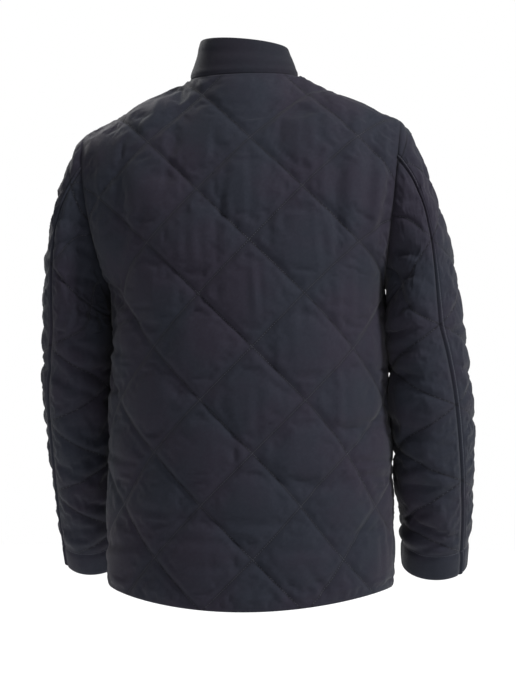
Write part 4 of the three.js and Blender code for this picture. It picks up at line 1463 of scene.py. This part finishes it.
# Stitches of the cuff line, the back seam's row, the zip's edges and the quilting, in that order.
def panelStitches(name, panel):
    outer, d = panel["outer"], panel["edges"]
    spots = np.concatenate([outer, normalsOf(outer, panel["facing"])], axis=-1)
    allowed = least(d.values()) > stitch["fromEdge"]
    everywhere = np.ones(allowed.shape, bool)
    found = []
    if name.startswith("sleeve"):
        allowed &= d["last"] > sleeve["cuffDepth"] + stitch["fromRow"]
        turned = spots.swapaxes(0, 1), d["last"].T, everywhere.T
        found += levelRuns(*turned, sleeve["cuffDepth"])
    if name.endswith("_top"):
        allowed &= d["end"] > twinSeam["stitched"] + stitch["fromRow"]
        found += levelRuns(spots, d["end"], everywhere, twinSeam["stitched"])
    zipEdges = {"front_left": ("start",), "front_right": ("end",), "collar": ("start", "end")}
    for edge in zipEdges.get(name, ()):
        found += levelRuns(spots, d[edge], everywhere, stitch["fromZip"])
    if name != "collar":
        for k in range(2):
            q = panel["quilt"][..., k]
            for level in range(math.ceil(q.min()), math.floor(q.max()) + 1):
                found += levelRuns(spots, q, allowed, level)
    found = np.concatenate([stitchesAlong(run) for run in found])
    n = unit(found[:, 3:6])
    spots = found[:, :3] + n * stitch["proud"] * mm
    sizes = (stitch["length"], stitch["thread"], stitch["thread"])
    piece = scattered(f"{name}_stitches", "stitch", spots, turnsOf(found[:, 6:], n), sizes, thread)
    "collar_cloth" if name == "collar" else "quilted_cloth"
    return len(found)


total = sum(panelStitches(name, panel) for name, panel in panels.items())
print(f"{total} stitches sewn")

# Zip teeth: on one line and gripping each other below the slider, apart above it
teeth = {
    "pitch": 2.6,
    "length": 3.0,
    "thick": 1.2,
    "deep": 1.9,
    "closed": 1.15,
    "open": 2.9,
    "fromHem": 5,
    "fromTop": 4,
    "back": 0.5,
    "insideSlider": 1,
}


def zipLine():
    left = np.concatenate([panels["front_left"]["p"][:, 0], panels["collar"]["p"][1:, 0]])
    right = np.concatenate([panels["front_right"]["p"][:, -1], panels["collar"]["p"][1:, -1]])
    return lean((left + right) / 2)


def zipTeeth():
    line = zipLine()
    lengths = distancesAlong(line)
    sliderLow, sliderHigh = (corner[2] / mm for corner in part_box("zip_slider"))
    wanted = np.arange(teeth["fromHem"], lengths[-1] - teeth["fromTop"], teeth["pitch"] / 2)
    before, spots, after = (onLine(wanted + step, lengths, line) for step in (-2, 0, 2))
    up = unit(after - before)
    side = np.where(np.arange(len(wanted)) % 2, 1, -1)
    opened = ease((spots[:, 2] - sliderLow) / (sliderHigh - sliderLow))
    apart = mix(teeth["closed"], teeth["open"], opened)
    out = unit(np.cross(up, np.array([-1.0, 0, 0])))
    out = out * -np.sign(out[:, [1]])
    across = np.cross(up, out)
    spots = spots - out * teeth["back"] + point(side * apart, 0, 0)
    aboveLow, belowHigh = spots[:, 2] - sliderLow, sliderHigh - spots[:, 2]
    seen = np.minimum(aboveLow, belowHigh) <= teeth["insideSlider"]
    spots, across, out = spots[seen], across[seen], out[seen]
    sizes = (teeth["length"], teeth["thick"], teeth["deep"])
    piece = scattered("zip_teeth", "tooth", spots * mm, turnsOf(across, out), sizes, toothFinish)
    return len(spots)


print(f"{zipTeeth()} zip teeth set")


# The slider and the pull are copies of their solids with rounded edges.
metalEdge = {"radius": 0.18, "segments": 2, "sharpFrom": 35}


def roundedCopy(node, rides):
    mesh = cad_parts[node].data.copy()
    shape = bmesh.new()
    shape.from_mesh(mesh)
    bmesh.ops.remove_doubles(shape, verts=shape.verts, dist=1e-6)
    flat = math.radians(1)
    bmesh.ops.dissolve_limit(shape, angle_limit=flat, verts=shape.verts, edges=shape.edges)
    shape.to_mesh(mesh)
    shape.free()
    made = addObject(f"{node}_metal", mesh)
    bevel = made.modifiers.new("bevel", "BEVEL")
    bevel.width, bevel.segments = metalEdge["radius"] * mm, metalEdge["segments"]
    bevel.limit_method, bevel.angle_limit = "ANGLE", math.radians(metalEdge["sharpFrom"])
    setMaterial(applyModifiers(made), metal)
    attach(made, rides)
    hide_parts(node)


roundedCopy("zip_slider", "jacket")
roundedCopy("zip_pull", "zip_pull")
for node in ("zip_tape_left", "zip_tape_right"):
    setMaterial(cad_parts[node].data, tape)
print("zip finished")

# The photo's view, its light and a white floor
photoView = {
    "turn": 8.0,
    "distance": 3.2,
    "aim": (-0.0209, 0.0125, -0.3671),
    "seenHeight": 0.9494,
    "sensor": 36,
}
studio = {
    "floorZ": -1.45,
    "halfFloor": 9,
    "white": (1, 1, 1, 1),
    "roughness": 0.8,
    "skyStrength": 1.0,
    "lightsAim": (0, 0, -0.35),
}
lights = {
    "key": {"place": (-2.9, 1.45, 2.5), "power": 520, "size": 0.55},
    "fill": {"place": (2.6, 2.2, 0.4), "power": 12, "size": 2.0},
    "frontKey": {"place": (2.2, -2.6, 1.6), "power": 160, "size": 1.0},
}


def aimed(made, place, direction):
    made.location = place
    made.rotation_euler = direction.to_track_quat("-Z", "Y").to_euler()


def makeCamera():
    data = bpy.data.cameras.new("camera")
    data.sensor_width = photoView["sensor"]
    data.lens = photoView["sensor"] * photoView["distance"] / photoView["seenHeight"]
    turn = math.radians(photoView["turn"])
    looking = Vector((math.sin(turn), -math.cos(turn), 0))
    camera = addObject("camera", data)
    aimed(camera, Vector(photoView["aim"]) - looking * photoView["distance"], looking)
    bpy.context.scene.camera = camera


def makeStudio():
    mesh = bpy.data.meshes.new("floor")
    r, z = studio["halfFloor"], studio["floorZ"]
    mesh.from_pydata([(-r, -r, z), (r, -r, z), (r, r, z), (-r, r, z)], [], [(0, 1, 2, 3)])
    paper = Finish("floorPaper")
    paper.set(Base_Color=studio["white"], Roughness=studio["roughness"])
    setMaterial(mesh, paper.material)
    addObject("floor", mesh)
    world = bpy.data.worlds.new("studio")
    bpy.context.scene.world = world
    world.use_nodes = True
    sky = world.node_tree.nodes["Background"]
    sky.inputs["Color"].default_value = studio["white"]
    sky.inputs["Strength"].default_value = studio["skyStrength"]
    for name, light in lights.items():
        data = bpy.data.lights.new(name, "AREA")
        data.energy, data.size = light["power"], light["size"]
        place = Vector(light["place"])
        aimed(addObject(name, data), place, Vector(studio["lightsAim"]) - place)
    bpy.context.scene.view_settings.view_transform = "Standard"


makeCamera()
makeStudio()
print("camera, light and floor set")
